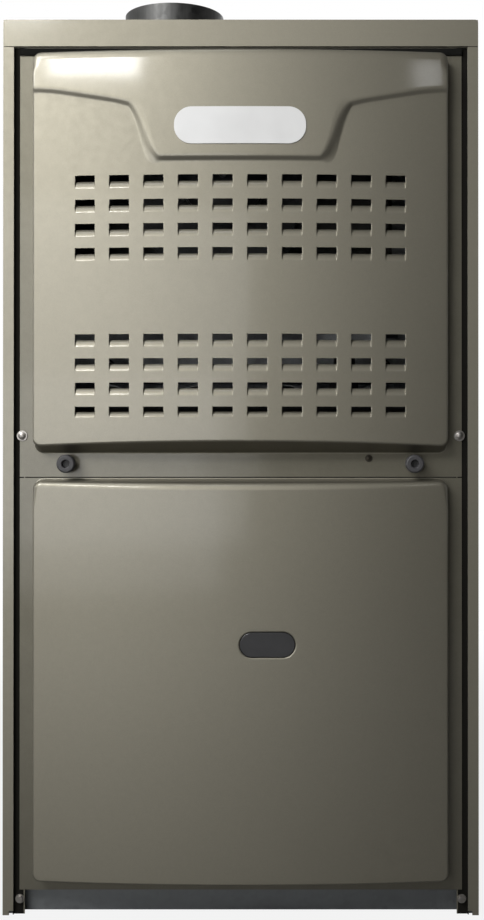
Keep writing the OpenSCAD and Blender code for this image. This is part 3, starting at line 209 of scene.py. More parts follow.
def new_material(name, colour, metallic, roughness):
    """A plain surface of this colour, which the functions below then vary."""
    material = bpy.data.materials.new(name)
    material.use_nodes = True
    surface = surface_of(material)
    surface["Base Color"].default_value = (*colour, 1.0)
    surface["Metallic"].default_value = metallic
    surface["Roughness"].default_value = roughness
    return material


def lay_over(material, texture, stretch=(1.0, 1.0, 1.0)):
    """Lays a texture over a piece in metres, drawn out along the axes where stretch is below 1."""
    tree = material.node_tree
    place = tree.nodes.new("ShaderNodeTexCoord")
    scaled = tree.nodes.new("ShaderNodeMapping")
    scaled.inputs["Scale"].default_value = stretch
    link(tree, place.outputs["Object"], scaled.inputs["Vector"])
    link(tree, scaled.outputs["Vector"], texture.inputs["Vector"])


def noise_on(material, size, stretch=(1.0, 1.0, 1.0), detail=2.0, spread=0.2):
    """Cloudy patches of about this size in metres, as a value from 0 to 1."""
    tree = material.node_tree
    cloud = tree.nodes.new("ShaderNodeTexNoise")
    cloud.inputs["Scale"].default_value = 1.0 / size
    cloud.inputs["Detail"].default_value = detail
    lay_over(material, cloud, stretch)
    level = tree.nodes.new("ShaderNodeMapRange")
    level.inputs["From Min"].default_value = 0.5 - spread
    level.inputs["From Max"].default_value = 0.5 + spread
    link(tree, cloud.outputs["Fac"], level.inputs["Value"])
    return level.outputs["Result"]


def cells_on(material, size):
    """Angular grains of about this size in metres, each with its own value from 0 to 1."""
    tree = material.node_tree
    grain = tree.nodes.new("ShaderNodeTexVoronoi")
    grain.inputs["Scale"].default_value = 1.0 / size
    lay_over(material, grain)
    split = tree.nodes.new("ShaderNodeSeparateColor")
    link(tree, grain.outputs["Color"], split.inputs["Color"])
    return split.outputs["Red"]


def colour_between(material, value, low, high):
    """The base colour goes from low to high with a value. A second call varies what the first one made."""
    tree = material.node_tree
    base = surface_of(material)["Base Color"]
    shade = tree.nodes.new("ShaderNodeMix")
    shade.data_type = "RGBA"
    shade.inputs["A"].default_value = (*low, 1.0)
    shade.inputs["B"].default_value = (*high, 1.0)
    link(tree, value, shade.inputs["Factor"])
    if base.is_linked:
        both = tree.nodes.new("ShaderNodeMix")
        both.data_type = "RGBA"
        both.blend_type = "MULTIPLY"
        both.inputs["Factor"].default_value = 1.0
        link(tree, base.links[0].from_socket, both.inputs["A"])
        link(tree, shade.outputs["Result"], both.inputs["B"])
        shade = both
    link(tree, shade.outputs["Result"], base)


def shaded(colour, share):
    return tuple(share * c for c in colour)


def roughness_between(material, value, low, high):
    tree = material.node_tree
    level = tree.nodes.new("ShaderNodeMapRange")
    level.inputs["To Min"].default_value = low
    level.inputs["To Max"].default_value = high
    link(tree, value, level.inputs["Value"])
    link(tree, level.outputs["Result"], surface_of(material)["Roughness"])


def relief_from(material, value, depth, strength=1.0):
    """Raises the surface by up to depth metres with a value. A second call adds to the first."""
    tree = material.node_tree
    normal = surface_of(material)["Normal"]
    bump = tree.nodes.new("ShaderNodeBump")
    bump.inputs["Distance"].default_value = depth
    bump.inputs["Strength"].default_value = strength
    link(tree, value, bump.inputs["Height"])
    if normal.is_linked:
        link(tree, normal.links[0].from_socket, bump.inputs["Normal"])
    link(tree, bump.outputs["Normal"], normal)


pebble = (0.233, 0.219, 0.175)
paint_metallic = 1.0
paint_roughness = 0.55
pebble_paint = new_material("pebble_paint", pebble, paint_metallic, paint_roughness)
coat = surface_of(pebble_paint)
coat["Coat Weight"].default_value = 0.5
coat["Coat Roughness"].default_value = 0.1
coat["Coat IOR"].default_value = 1.5
flake = cells_on(pebble_paint, 0.0005)
colour_between(pebble_paint, flake, shaded(pebble, 0.965), shaded(pebble, 1.035))
colour_between(pebble_paint, noise_on(pebble_paint, 0.25), (0.975, 0.975, 0.975), (1.0, 1.0, 1.0))
roughness_between(pebble_paint, noise_on(pebble_paint, 0.006), paint_roughness - 0.02, paint_roughness + 0.02)
relief_from(pebble_paint, noise_on(pebble_paint, 0.0022, detail=1.0, spread=0.5), 0.00002, 0.35)


sharp_fold = math.radians(40.0)
smooth_nodes = bpy.data.node_groups.new("smooth_but_for_folds", "GeometryNodeTree")
smooth_nodes.interface.new_socket("Geometry", in_out="INPUT", socket_type="NodeSocketGeometry")
smooth_nodes.interface.new_socket("Geometry", in_out="OUTPUT", socket_type="NodeSocketGeometry")
come_in = smooth_nodes.nodes.new("NodeGroupInput")
go_out = smooth_nodes.nodes.new("NodeGroupOutput")
all_faces = smooth_nodes.nodes.new("GeometryNodeSetShadeSmooth")
all_faces.domain = "FACE"
folds = smooth_nodes.nodes.new("GeometryNodeSetShadeSmooth")
folds.domain = "EDGE"
folds.inputs["Shade Smooth"].default_value = False
fold_angle = smooth_nodes.nodes.new("GeometryNodeInputMeshEdgeAngle")
is_fold = smooth_nodes.nodes.new("ShaderNodeMath")
is_fold.operation = "GREATER_THAN"
is_fold.inputs[1].default_value = sharp_fold
link(smooth_nodes, come_in.outputs[0], all_faces.inputs["Geometry"])
link(smooth_nodes, all_faces.outputs["Geometry"], folds.inputs["Geometry"])
link(smooth_nodes, fold_angle.outputs["Unsigned Angle"], is_fold.inputs[0])
link(smooth_nodes, is_fold.outputs["Value"], folds.inputs["Selection"])
link(smooth_nodes, folds.outputs["Geometry"], go_out.inputs[0])


def smooth_but_for_folds(piece):
    """Shades a piece smooth across bends and sharp across folds."""
    piece.modifiers.new("smooth", "NODES").node_group = smooth_nodes
    piece.modifiers.new("flat_faces_stay_flat", "WEIGHTED_NORMAL").keep_sharp = True


def round_edges(piece, radius, segments):
    """Rounds the folds and sheared edges of a CAD piece, so that they catch the light."""
    piece.modifiers.new("joined", "WELD").merge_threshold = 0.00001
    flats = piece.modifiers.new("whole_faces", "DECIMATE")
    flats.decimate_type = "DISSOLVE"
    flats.angle_limit = math.radians(0.3)
    bend = piece.modifiers.new("rounded", "BEVEL")
    bend.width = radius
    bend.segments = segments
    bend.limit_method = "ANGLE"
    bend.angle_limit = sharp_fold
    smooth_but_for_folds(piece)


def wear(name, material, radius=None, segments=2):
    """Gives a CAD piece its material, and edges rounded to this radius."""
    piece = node[name]
    piece.data.materials.clear()
    piece.data.materials.append(material)
    if radius:
        round_edges(piece, radius, segments)


for name in ["cabinet_wrapper", "top_cap"]:
    wear(name, pebble_paint, 0.0006, 3)


# The doors: one sheet each, pressed into a flat border and a raised field that bows forward. The upper one
# has a brow that grows out of the bow into a shield, and eight rows of ten louvres, lanced and pressed in.
sheet_thickness = 0.001
field_proud = 0.028
bow_radius = 1.55001
field_half = 0.1925
field_corner = 0.0075
face_bend = 0.0018
brow_bend = 0.0072
brow_bend_depth = 0.0022
brow_bend_reach = 0.012
foot_bend = 0.0012
corner_steps = 8
bend_steps = [18.0, 36.0, 54.0, 72.0, 90.0]
foot_steps = [0.0, 30.0, 60.0, 90.0]
lean_fade = 0.045
halvings = 30
rim_profile = [(0.0016, 0.0), (0.0009, 0.00012), (0.0004, 0.0005), (0.0002, 0.001)]

lower_low, lower_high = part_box("lower_door")
upper_low, upper_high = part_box("upper_door")
door_half = lower_high.x - 0.0023
crown_y = lower_low.y
border_y = crown_y + field_proud
inner_half = field_half - field_corner

# The recessed border is painted darker, as painted shade for the light that the raised field keeps from it.
shade_border_paint = pebble_paint.copy()
shade_border_paint.name = "pebble_paint_painted_shade"
colour_between(shade_border_paint, noise_on(shade_border_paint, 0.03), (0.62, 0.62, 0.61), (0.66, 0.66, 0.65))


def thicken(sheet, thickness):
    """Gives a sheet its thickness, behind its face."""
    thick = sheet.modifiers.new("thickness", "SOLIDIFY")
    thick.thickness = thickness
    thick.offset = -1.0


def eased(t):
    """A smooth step from 0 to 1."""
    t = min(1.0, max(0.0, t))
    return t * t * (3.0 - 2.0 * t)


def bowed(x):
    """Height of the bowed field over the door's flat border."""
    return field_proud - bow_radius + math.sqrt(bow_radius ** 2 - x ** 2)


def between(low, high, share):
    return low + (high - low) * share


def evenly(low, high, step):
    """Distances from low to high, at most a step apart."""
    count = max(1, math.ceil((high - low) / step - 0.001))
    return [low + (high - low) * i / count for i in range(count + 1)]


class PressedDoor:
    """The front skin of a door, built as a grid over its field and rings round the field's edge."""

    def __init__(self, name, low, high, foot, head, foot_lean, head_lean, columns, row_count):
        self.name = name
        self.low = low
        self.high = high
        self.foot = foot
        self.head = head
        self.foot_lean = math.tan(math.radians(foot_lean))
        self.head_lean = math.tan(math.radians(head_lean))
        self.columns = columns
        self.row_count = row_count
        self.form = bmesh.new()

    def spot(self, x, z, height):
        """A point at a height over the border. Where a wall leans, what lies near it leans with it."""
        near_foot = 1.0 - eased((z - self.foot) / lean_fade)
        near_head = 1.0 - eased((self.head - z) / lean_fade)
        lean = self.foot_lean * near_foot - self.head_lean * near_head
        return self.form.verts.new((x, border_y - height, z + height * lean))

    def lay_grid(self, row_z, row_height):
        """The field inside its rounded edge. row_z and row_height give z and height for a column and row."""
        self.grid = []
        for x in self.columns:
            line = []
            for j in range(self.row_count):
                line.append(self.spot(x, row_z(x, j), row_height(x, j)))
            self.grid.append(line)

    def fill_grid(self, is_open):
        """Faces of the grid, apart from the cells that is_open names."""
        for i in range(len(self.columns) - 1):
            for j in range(self.row_count - 1):
                if not is_open(i, j):
                    a, b = self.grid[i], self.grid[i + 1]
                    self.form.faces.new((a[j], b[j], b[j + 1], a[j + 1]))

    def edge_walk(self):
        """The grid's edge points in order, each with its place and the way out from it."""
        last, top = len(self.columns) - 1, self.row_count - 1
        sides = [
            ([(i, 0) for i in range(last + 1)], -90.0),
            ([(last, j) for j in range(top + 1)], 0.0),
            ([(i, top) for i in range(last, -1, -1)], 90.0),
            ([(0, j) for j in range(top, -1, -1)], 180.0),
        ]
        walk = []
        for points, turn in sides:
            for i, j in points:
                walk.append((i, j, turn, 0))
            for k in range(1, corner_steps):
                i, j = points[-1]
                walk.append((i, j, turn + 90.0 * k / corner_steps, k))
        return walk

    def border_point(self, x, z, turn, k):
        """Where an edge point ends on the door's own edge. Round a corner, the first half of the points runs
        along one edge up to the door's corner and the second half along the other."""
        side = math.cos(math.radians(turn))
        rise = math.sin(math.radians(turn))
        far_x = door_half if x > 0 else -door_half
        far_z = self.high.z if z > (self.foot + self.head) / 2 else self.low.z
        if k == 0:
            return (far_x if abs(side) > 0.5 else x, far_z if abs(rise) > 0.5 else z)
        along = 2.0 * k / corner_steps
        first_is_z = round(turn - 90.0 * k / corner_steps) % 180 != 0
        if first_is_z == (along <= 1.0):
            step = along if first_is_z else 2.0 - along
            return (x + (far_x - x) * min(1.0, step), far_z)
        step = 2.0 - along if first_is_z else along
        return (far_x, z + (far_z - z) * min(1.0, step))

    def lay_rings(self, row_z, edge_bend, rise):
        """The rounded edge, the wall, the bend onto the border and the border itself. edge_bend gives the
        width and the depth of the rounded edge."""
        walk = self.edge_walk()
        ring = [self.grid[i][j] for i, j, turn, k in walk]
        rows = []
        for i, j, turn, k in walk:
            x, z = self.columns[i], row_z(self.columns[i], j)
            out_x, out_z = math.cos(math.radians(turn)), math.sin(math.radians(turn))
            bend, depth = edge_bend(x, z)

            def at(reach, height=None, drop=0.0):
                px, pz = x + out_x * reach, z + out_z * reach
                if height is None:
                    height = bowed(px) + rise(pz, j) - drop
                return self.spot(px, pz, height)

            line = [at(field_corner - bend)]
            for a in bend_steps:
                turned = math.radians(a)
                line.append(at(field_corner - bend + bend * math.sin(turned),
                               drop=depth * (1 - math.cos(turned))))
            for a in foot_steps:
                turned = math.radians(a)
                line.append(at(field_corner + foot_bend * (1 - math.cos(turned)),
                               foot_bend * (1 - math.sin(turned))))
            px, pz = self.border_point(x, z, turn, k)
            line.append(self.form.verts.new((px, border_y, pz)))
            rows.append(line)
        count = len(walk)
        for n in range(count):
            m = (n + 1) % count
            inner, inner_next = ring[n], ring[m]
            for here, there in zip(rows[n], rows[m]):
                corners = [inner, here, there, inner_next]
                corners = [c for p, c in enumerate(corners) if c not in corners[:p]]
                face = self.form.faces.new(corners)
                face.material_index = 1 if here is rows[n][-1] else 0
                inner, inner_next = here, there

    def cut_hole(self, i0, i1, j0, j1, inside):
        """A hole with a rolled rim in a block of grid cells. inside tells if a point lies in its outline,
        grown by the rim's distance from it."""
        loop = [(i, j0) for i in range(i0, i1)] + [(i1, j) for j in range(j0, j1)]
        loop += [(i, j1) for i in range(i1, i0, -1)] + [(i0, j) for j in range(j1, j0, -1)]
        points = [self.grid[i][j] for i, j in loop]
        centre_x = (self.columns[i0] + self.columns[i1]) / 2
        centre_z = (self.grid[i0][j0].co.z + self.grid[i0][j1].co.z) / 2
        outer = points
        for grow, drop in rim_profile:
            ring = []
            for point in points:
                near, far = 0.0, 1.0
                dx, dz = point.co.x - centre_x, point.co.z - centre_z
                for _ in range(halvings):
                    middle = (near + far) / 2
                    if inside(dx * middle, dz * middle, grow):
                        near = middle
                    else:
                        far = middle
                x, z = centre_x + dx * near, centre_z + dz * near
                ring.append(self.form.verts.new((x, border_y - bowed(x) + drop, z)))
            for n in range(len(loop)):
                m = (n + 1) % len(loop)
                self.form.faces.new((outer[n], outer[m], ring[m], ring[n]))
            outer = ring

    def finish(self, body, cad_node):
        """Makes the sheet of one thickness and hangs it where the CAD door is."""
        bmesh.ops.recalc_face_normals(self.form, faces=self.form.faces)
        self.form.faces.ensure_lookup_table()
        if sum(face.normal.y * face.calc_area() for face in self.form.faces) > 0:
            bmesh.ops.reverse_faces(self.form, faces=self.form.faces)
        for face in self.form.faces:
            face.smooth = True
        for edge in self.form.edges:
            if edge.is_boundary:
                edge.smooth = False
        panel = piece_from(self.name, self.form)
        panel.data.materials.append(pebble_paint)
        panel.data.materials.append(shade_border_paint)
        thicken(panel, sheet_thickness)
        panel.modifiers.new("flat_faces_stay_flat", "WEIGHTED_NORMAL").keep_sharp = True
        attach(panel, body)
        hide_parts(cad_node)


# The upper door's brow bows with the field, stands out from it and ends in a shield under the badge. The line
# where it ends is given as distances from the middle and from the field's head.
upper_foot = upper_low.z + 0.023
upper_head = upper_high.z - 0.008
brow_rise_top = 0.0003
brow_rise = 0.003
brow_curl = 0.045
shield_depth = 0.100
crease_line = [(0.0, shield_depth), (0.081, shield_depth), (0.095, 0.0515), (0.1135, 0.0464), (0.170, 0.0366),
               (field_half, 0.0345)]
crease_ease = 0.008
flank_ease = 1.6
flank_inner = 0.072
flank_outer = 0.104
crease_rows = [(0.0032, 1.0), (0.0016, 0.97), (0.0004, 0.84), (-0.0009, 0.47), (-0.0022, 0.09), (-0.0034, 0.0)]

louvre_count = 10
louvre_pitch = 0.03185
louvre_rows = 4
louvre_row_pitch = 0.0223
louvre_width = 0.0183
louvre_height = 0.0113
louvre_press = 0.0032
flap_height = 0.52 * louvre_height
upper_group_foot = upper_head - 0.1155 - louvre_height
lower_group_foot = upper_group_foot - 0.1465
full_dent = 0.0082
cheek_lines = [(0.01005, 0.0), (0.00945, 0.02), (0.00915, 0.12), (0.00903, 0.75), (0.00885, 0.95),
               (full_dent, 1.0)]
flap_lines = [(-0.0012, 0.0), (-0.0004, 0.00004), (0.0004, 0.0002), (0.0013, 0.00048), (0.0022, 0.00083),
              (0.0032, 0.0013), (0.0042, 0.0019), (0.0051, 0.0026), (flap_height, louvre_press),
              (louvre_height, 0.0), (louvre_height + 0.001, 0.0)]
louvre_x = [(i - (louvre_count - 1) / 2) * louvre_pitch for i in range(louvre_count)]
louvre_z = [group - row * louvre_row_pitch for group in (upper_group_foot, lower_group_foot)
            for row in range(louvre_rows)]


def on_crease_line(x):
    x = min(abs(x), crease_line[-1][0])
    for (x0, d0), (x1, d1) in zip(crease_line, crease_line[1:]):
        if x <= x1:
            return d0 + (d1 - d0) * (x - x0) / (x1 - x0)


def crease_z(x):
    """Where the brow ends under a place, with its corners eased."""
    around = [on_crease_line(x + crease_ease * k / 6.0) for k in range(-6, 7)]
    return upper_head - sum(around) / len(around)


def crease_slope(x):
    """How far the crease's rows spread upright: more where it runs steeply, on the shield's flanks."""
    step = 0.001
    slope = (crease_z(x + step) - crease_z(x - step)) / (2 * step)
    spread = math.sqrt(1.0 + slope ** 2)
    return spread + flank_ease * (spread - 1.0)


def brow_height(z):
    """How far the brow stands out at a height: quickly at first, then evenly."""
    depth = upper_head - z
    full = 1.0 - math.exp(-shield_depth / brow_curl)
    return brow_rise_top + (brow_rise - brow_rise_top) * (1.0 - math.exp(-depth / brow_curl)) / full


flank_step = 0.0015
plain_column_step = 0.0053
plain_row_step = 0.006
closest_columns = 0.0008
closest_rows = 0.0015
upper_columns = sorted({round(x + side * reach, 6) for x in louvre_x for side in (-1, 1)
                        for reach, share in cheek_lines})
fine_columns = [side * x for side in (-1, 1) for x in evenly(flank_inner, flank_outer, flank_step)]
plain_columns = evenly(-inner_half, inner_half, plain_column_step)
for x in fine_columns + plain_columns:
    if min(abs(x - c) for c in upper_columns) > closest_columns or abs(x) == inner_half:
        upper_columns.append(x)
upper_columns = sorted(upper_columns)

# Rows from the foot up: plain ones and those of the louvres, then the rows that follow the crease.
straight_rows = []
blend_z = louvre_z[0] + louvre_height + 0.004
for z in louvre_z:
    straight_rows += [z + v for v, depth in flap_lines]
inner_foot = upper_foot + field_corner
inner_head = upper_head - field_corner
for z in evenly(inner_foot, blend_z, plain_row_step):
    if min(abs(z - r) for r in straight_rows) > closest_rows:
        straight_rows.append(z)
straight_rows = sorted(set(round(z, 6) for z in straight_rows + [inner_foot, blend_z]))
under_crease = [0.3, 0.6, 0.8, 0.92]
over_crease = [0.04, 0.1, 0.2, 0.35, 0.5, 0.65, 0.8, 0.9, 1.0]
first_bent = len(straight_rows)
first_crease = first_bent + len(under_crease)
first_brow = first_crease + len(crease_rows)
upper_row_count = first_brow + len(over_crease)


def upper_row_z(x, j):
    if j < first_bent:
        return straight_rows[j]
    slope = crease_slope(x)
    if j < first_crease:
        top = crease_z(x) + crease_rows[-1][0] * slope
        return blend_z + (top - blend_z) * under_crease[j - first_bent]
    if j < first_brow:
        return crease_z(x) + crease_rows[len(crease_rows) - 1 - (j - first_crease)][0] * slope
    low = crease_z(x) + crease_rows[0][0] * slope
    return low + (inner_head - low) * over_crease[j - first_brow]


def brow_share(j):
    if j < first_crease:
        return 0.0
    if j < first_brow:
        return crease_rows[len(crease_rows) - 1 - (j - first_crease)][1]
    return 1.0


def upper_rise(z, j):
    return brow_share(j) * brow_height(z)


def louvre_dent(x, z):
    """How far the sheet is pressed in at a place of the louvred part."""
    off = min(abs(x - c) for c in louvre_x)
    if off > cheek_lines[0][0] + 0.00001:
        return 0.0
    share = min(cheek_lines, key=lambda line: abs(line[0] - off))[1] if off > full_dent else 1.0
    for foot in louvre_z:
        for v, depth in flap_lines:
            if abs(z - foot - v) < 0.00002:
                return depth * share
    return 0.0


def upper_row_height(x, j):
    z = upper_row_z(x, j)
    dent = louvre_dent(x, z) if j < first_bent else 0.0
    return bowed(x) + upper_rise(z, j) - dent


def is_slot(i, j):
    if j >= first_bent:
        return False
    x = (upper_columns[i] + upper_columns[i + 1]) / 2
    z = (straight_rows[j] + straight_rows[min(j + 1, first_bent - 1)]) / 2
    across = min(abs(x - c) for c in louvre_x) < louvre_width / 2
    return across and any(flap_height < z - foot < louvre_height for foot in louvre_z)


def upper_bend(x, z):
    """The bend round the upper field is wide and flat along its head."""
    share = eased(1.0 - (inner_head - z) / brow_bend_reach)
    return between(face_bend, brow_bend, share), between(face_bend, brow_bend_depth, share)


upper_door = PressedDoor("upper_door_panel", upper_low, upper_high, upper_foot, upper_head,
                         foot_lean=20.0, head_lean=0.0, columns=upper_columns, row_count=upper_row_count)
upper_door.lay_grid(upper_row_z, upper_row_height)
upper_door.fill_grid(is_slot)
upper_door.lay_rings(upper_row_z, upper_bend, upper_rise)
upper_door.finish("upper_panel", "upper_door")


# The lower door is plain but for the oval hole that the sight glass is pressed into. Its sheet is rolled over
# in a deep bend along the head.
lower_foot = lower_low.z + 0.0125
lower_head = lower_high.z - 0.0017
glass_x = 0.025
glass_z = 0.256
glass_width = 0.051
glass_height = 0.023
hole_margin_x = 0.007
hole_margin_z = 0.006
column_step = 0.012
row_step = 0.009
fine_step = 0.0018
head_bend = 0.0075
head_bend_depth = 0.0072
head_bend_reach = 0.02

hole_left = glass_x - glass_width / 2 - hole_margin_x
hole_right = glass_x + glass_width / 2 + hole_margin_x
hole_foot = glass_z - glass_height / 2 - hole_margin_z
hole_top = glass_z + glass_height / 2 + hole_margin_z
lower_columns = evenly(-inner_half, hole_left, column_step)[:-1]
lower_columns += evenly(hole_left, hole_right, fine_step)[:-1]
lower_columns += evenly(hole_right, inner_half, column_step)
lower_inner_foot = lower_foot + field_corner
lower_inner_head = lower_head - field_corner
lower_rows = evenly(lower_inner_foot, hole_foot, row_step)[:-1]
lower_rows += evenly(hole_foot, hole_top, fine_step)[:-1]
lower_rows += evenly(hole_top, lower_inner_head, row_step)
hole_i0, hole_i1 = lower_columns.index(hole_left), lower_columns.index(hole_right)
hole_j0, hole_j1 = lower_rows.index(hole_foot), lower_rows.index(hole_top)


def lower_row_z(x, j):
    return lower_rows[j]


def lower_row_height(x, j):
    return bowed(x)


def in_glass_hole(dx, dz, grow):
    straight = (glass_width - glass_height) / 2
    return math.hypot(max(abs(dx) - straight, 0.0), dz) < glass_height / 2 + grow


def lower_bend(x, z):
    """The bend round the lower field is wide and deep along its head, most of all under the bow's crown."""
    share = eased(1.0 - (lower_inner_head - z) / head_bend_reach)
    bow = bowed(x) / field_proud
    return between(face_bend, head_bend * bow, share), between(face_bend, head_bend_depth * bow, share)


lower_door = PressedDoor("lower_door_panel", lower_low, lower_high, lower_foot, lower_head,
                         foot_lean=0.0, head_lean=3.0, columns=lower_columns, row_count=len(lower_rows))
lower_door.lay_grid(lower_row_z, lower_row_height)
lower_door.fill_grid(lambda i, j: hole_i0 <= i < hole_i1 and hole_j0 <= j < hole_j1)
lower_door.cut_hole(hole_i0, hole_i1, hole_j0, hole_j1, in_glass_hole)
lower_door.lay_rings(lower_row_z, lower_bend, lambda z, j: 0.0)
lower_door.finish("lower_panel", "lower_door")


# The badge plate: a blank plate of pressed aluminium with round ends and a rounded rim, enamelled white. It is
# bent to the shield's bow and stuck on it.
badge_low, badge_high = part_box("badge_plate")
badge_half = (badge_high.x - badge_low.x) / 2
badge_half_height = (badge_high.z - badge_low.z) / 2
badge_centre_z = (badge_high.z + badge_low.z) / 2
badge_corner = badge_half_height - 0.001
badge_thickness = 0.0009
badge_columns = 64
badge_rows = 16


def badge_reach(x):
    """Half the plate's height at a distance from its middle."""
    past = abs(x) - (badge_half - badge_corner)
    if past <= 0:
        return badge_half_height
    return badge_half_height - badge_corner + math.sqrt(max(0.0, badge_corner ** 2 - past ** 2))


badge_form = bmesh.new()
badge_grid = []
for i in range(badge_columns + 1):
    x = -badge_half * math.cos(math.pi * i / badge_columns)
    line = []
    for j in range(badge_rows + 1):
        z = badge_centre_z + badge_reach(x) * (2.0 * j / badge_rows - 1.0)
        face = border_y - bowed(x) - brow_height(z)
        line.append(badge_form.verts.new((x, face - badge_thickness, z)))
    badge_grid.append(line)
for a, b in zip(badge_grid, badge_grid[1:]):
    for j in range(badge_rows):
        badge_form.faces.new((a[j], b[j], b[j + 1], a[j + 1])).smooth = True
badge_blank = piece_from("badge_blank", badge_form)
thicken(badge_blank, badge_thickness - 0.0001)
rim = badge_blank.modifiers.new("rim", "BEVEL")
rim.width = 0.0005
rim.segments = 3
rim.limit_method = "ANGLE"
rim.angle_limit = math.radians(50.0)
smooth_but_for_folds(badge_blank)
badge_enamel = new_material("badge_enamel", (0.58, 0.58, 0.575), 0.0, 0.35)
colour_between(badge_enamel, noise_on(badge_enamel, 0.03), (0.56, 0.56, 0.555), (0.6, 0.6, 0.595))
roughness_between(badge_enamel, noise_on(badge_enamel, 0.004), 0.3, 0.4)
badge_blank.data.materials.append(badge_enamel)
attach(badge_blank, "upper_panel")
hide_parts("badge_plate")


# The seal over the upper door: a strip of black foam stuck along the door's head, under the cap's band. Its
# black is painted shade: it stands for the dark gap and the cap's shadow over the door.
seal_foot = upper_head + 0.0014
seal_top = upper_high.z - 0.0002
seal_thickness = 0.0024
seal_steps = 8
glue = 0.0001
seal_end = door_half - glue
seal_form = bmesh.new()
seal_rows = []
for x in evenly(-seal_end, seal_end, 0.012):
    line = []
    for step in range(seal_steps + 1):
        turned = math.pi * step / seal_steps
        z = (seal_foot + seal_top) / 2 - (seal_top - seal_foot) / 2 * math.cos(turned)
        swell = 0.55 + 0.45 * math.sin(turned) ** 0.5
        line.append(seal_form.verts.new((x, border_y - glue - seal_thickness * swell, z)))
    line.append(seal_form.verts.new((x, border_y - glue, seal_top)))
    line.append(seal_form.verts.new((x, border_y - glue, seal_foot)))
    seal_rows.append(line)
for a, b in zip(seal_rows, seal_rows[1:]):
    for j in range(len(a)):
        k = (j + 1) % len(a)
        seal_form.faces.new((a[j], b[j], b[k], a[k]))
seal_form.faces.new(seal_rows[0])
seal_form.faces.new(seal_rows[-1])
bmesh.ops.recalc_face_normals(seal_form, faces=seal_form.faces)
door_seal_painted_shade = piece_from("door_seal_painted_shade", seal_form)
# Painted shade: the seal's black stands for the shade under the cap's band.
seal_black_shade = new_material("foam_black_painted_shade", (0.005, 0.005, 0.004), 0.0, 1.0)
surface_of(seal_black_shade)["Specular IOR Level"].default_value = 0.15
foam_pores = cells_on(seal_black_shade, 0.0008)
colour_between(seal_black_shade, foam_pores, (0.003, 0.003, 0.0025), (0.008, 0.008, 0.007))
relief_from(seal_black_shade, foam_pores, 0.0002, 0.6)
door_seal_painted_shade.data.materials.append(seal_black_shade)
smooth_but_for_folds(door_seal_painted_shade)
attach(door_seal_painted_shade, "upper_panel")


# The rail under the lower door: a channel of bare galvanised sheet between the two legs of the wrapper, held
# by a screw at each end. The zinc has dulled to a blue grey and still shows its crystals.
def zinc_sheet(name, colour, crystal, contrast, roughness):
    """Bare galvanised sheet: angular crystals of zinc, each with its own shade and gloss."""
    material = new_material(name, colour, 1.0, roughness)
    crystals = cells_on(material, crystal)
    colour_between(material, crystals, shaded(colour, 1.0 - contrast), shaded(colour, 1.0 + contrast))
    colour_between(material, noise_on(material, 0.07), (0.88, 0.88, 0.87), (1.0, 1.0, 1.0))
    roughness_between(material, crystals, roughness - 0.06, roughness + 0.06)
    relief_from(material, noise_on(material, 0.0012), 0.00001, 0.25)
    return material


dull_zinc = zinc_sheet("dull_zinc", (0.19, 0.2, 0.206), 0.004, 0.08, 0.55)
wear("bottom_rail", dull_zinc, 0.0005)


# The flue collar: a dark galvanised pipe stub, rolled, seamed and beaded, that comes up through the cap.
# Rolling left faint upright streaks in the zinc.
collar_zinc = zinc_sheet("collar_zinc", (0.092, 0.092, 0.09), 0.005, 0.1, 0.5)
streaks = noise_on(collar_zinc, 0.004, stretch=(1.0, 1.0, 0.04), detail=4.0)
colour_between(collar_zinc, streaks, (0.72, 0.72, 0.72), (1.0, 1.0, 1.0))
wear("flue_collar", collar_zinc)


# The sight glass: an oval lens of dark smoked plastic, pressed into the hole of the lower door, through which
# the signal lamp on the control board is read.
def moulded(name, colour, roughness, grain=0.0007, depth=0.00002):
    """Moulded plastic or rubber: even colour, with the fine grain that the mould leaves."""
    material = new_material(name, colour, 0.0, roughness)
    colour_between(material, noise_on(material, 0.02), shaded(colour, 0.88), shaded(colour, 1.12))
    pits = noise_on(material, grain, spread=0.3)
    roughness_between(material, pits, roughness - 0.05, roughness + 0.05)
    relief_from(material, pits, depth, 0.4)
    return material


smoked = moulded("smoked_lens", (0.029, 0.029, 0.03), 0.22, 0.004, 0.00001)
wear("sight_glass", smoked, 0.0006, 3)


# The thumbscrews: a black nylon knob moulded on a steel stud, with a deep socket in its face that is painted
# darker as painted shade. They hold the upper door to the deck and turn by hand.
def part_of(material, low=(None, None, None), high=(None, None, None)):
    """1 inside a box of the furnace's frame and 0 outside it. The box is open where a side is None."""
    tree = material.node_tree
    place = place_in(tree)
    inside = 1.0
    for axis, near, far in zip("XYZ", low, high):
        if near is not None:
            inside = maths(tree, "MULTIPLY", inside, maths(tree, "GREATER_THAN", place[axis], near))
        if far is not None:
            inside = maths(tree, "MULTIPLY", inside, maths(tree, "LESS_THAN", place[axis], far))
    return inside


def in_bore(material, middle, radius):
    """1 near a line through a point, straight out of the front, and 0 away from it."""
    tree = material.node_tree
    place = place_in(tree)
    total = 0.0
    for axis, value in [("X", middle.x), ("Z", middle.z)]:
        off = maths(tree, "SUBTRACT", place[axis], value)
        total = maths(tree, "ADD", total, maths(tree, "MULTIPLY", off, off))
    return maths(tree, "LESS_THAN", total, radius ** 2)


def set_where(material, mask, socket, value):
    """Where a mask is 1, a socket of the surface gets another value or colour."""
    tree = material.node_tree
    inlet = surface_of(material)[socket]
    coloured = isinstance(value, tuple)
    mix = tree.nodes.new("ShaderNodeMix")
    mix.data_type = "RGBA" if coloured else "FLOAT"
    if inlet.is_linked:
        link(tree, inlet.links[0].from_socket, mix.inputs["A"])
    else:
        mix.inputs["A"].default_value = inlet.default_value
    mix.inputs["B"].default_value = (*value, 1.0) if coloured else value
    link(tree, mask, mix.inputs["Factor"])
    link(tree, mix.outputs["Result"], inlet)


def made_of(material, mask, colour, metallic, roughness):
    """Where a mask is 1, the piece is made of something else."""
    set_where(material, mask, "Base Color", colour)
    set_where(material, mask, "Metallic", metallic)
    set_where(material, mask, "Roughness", roughness)


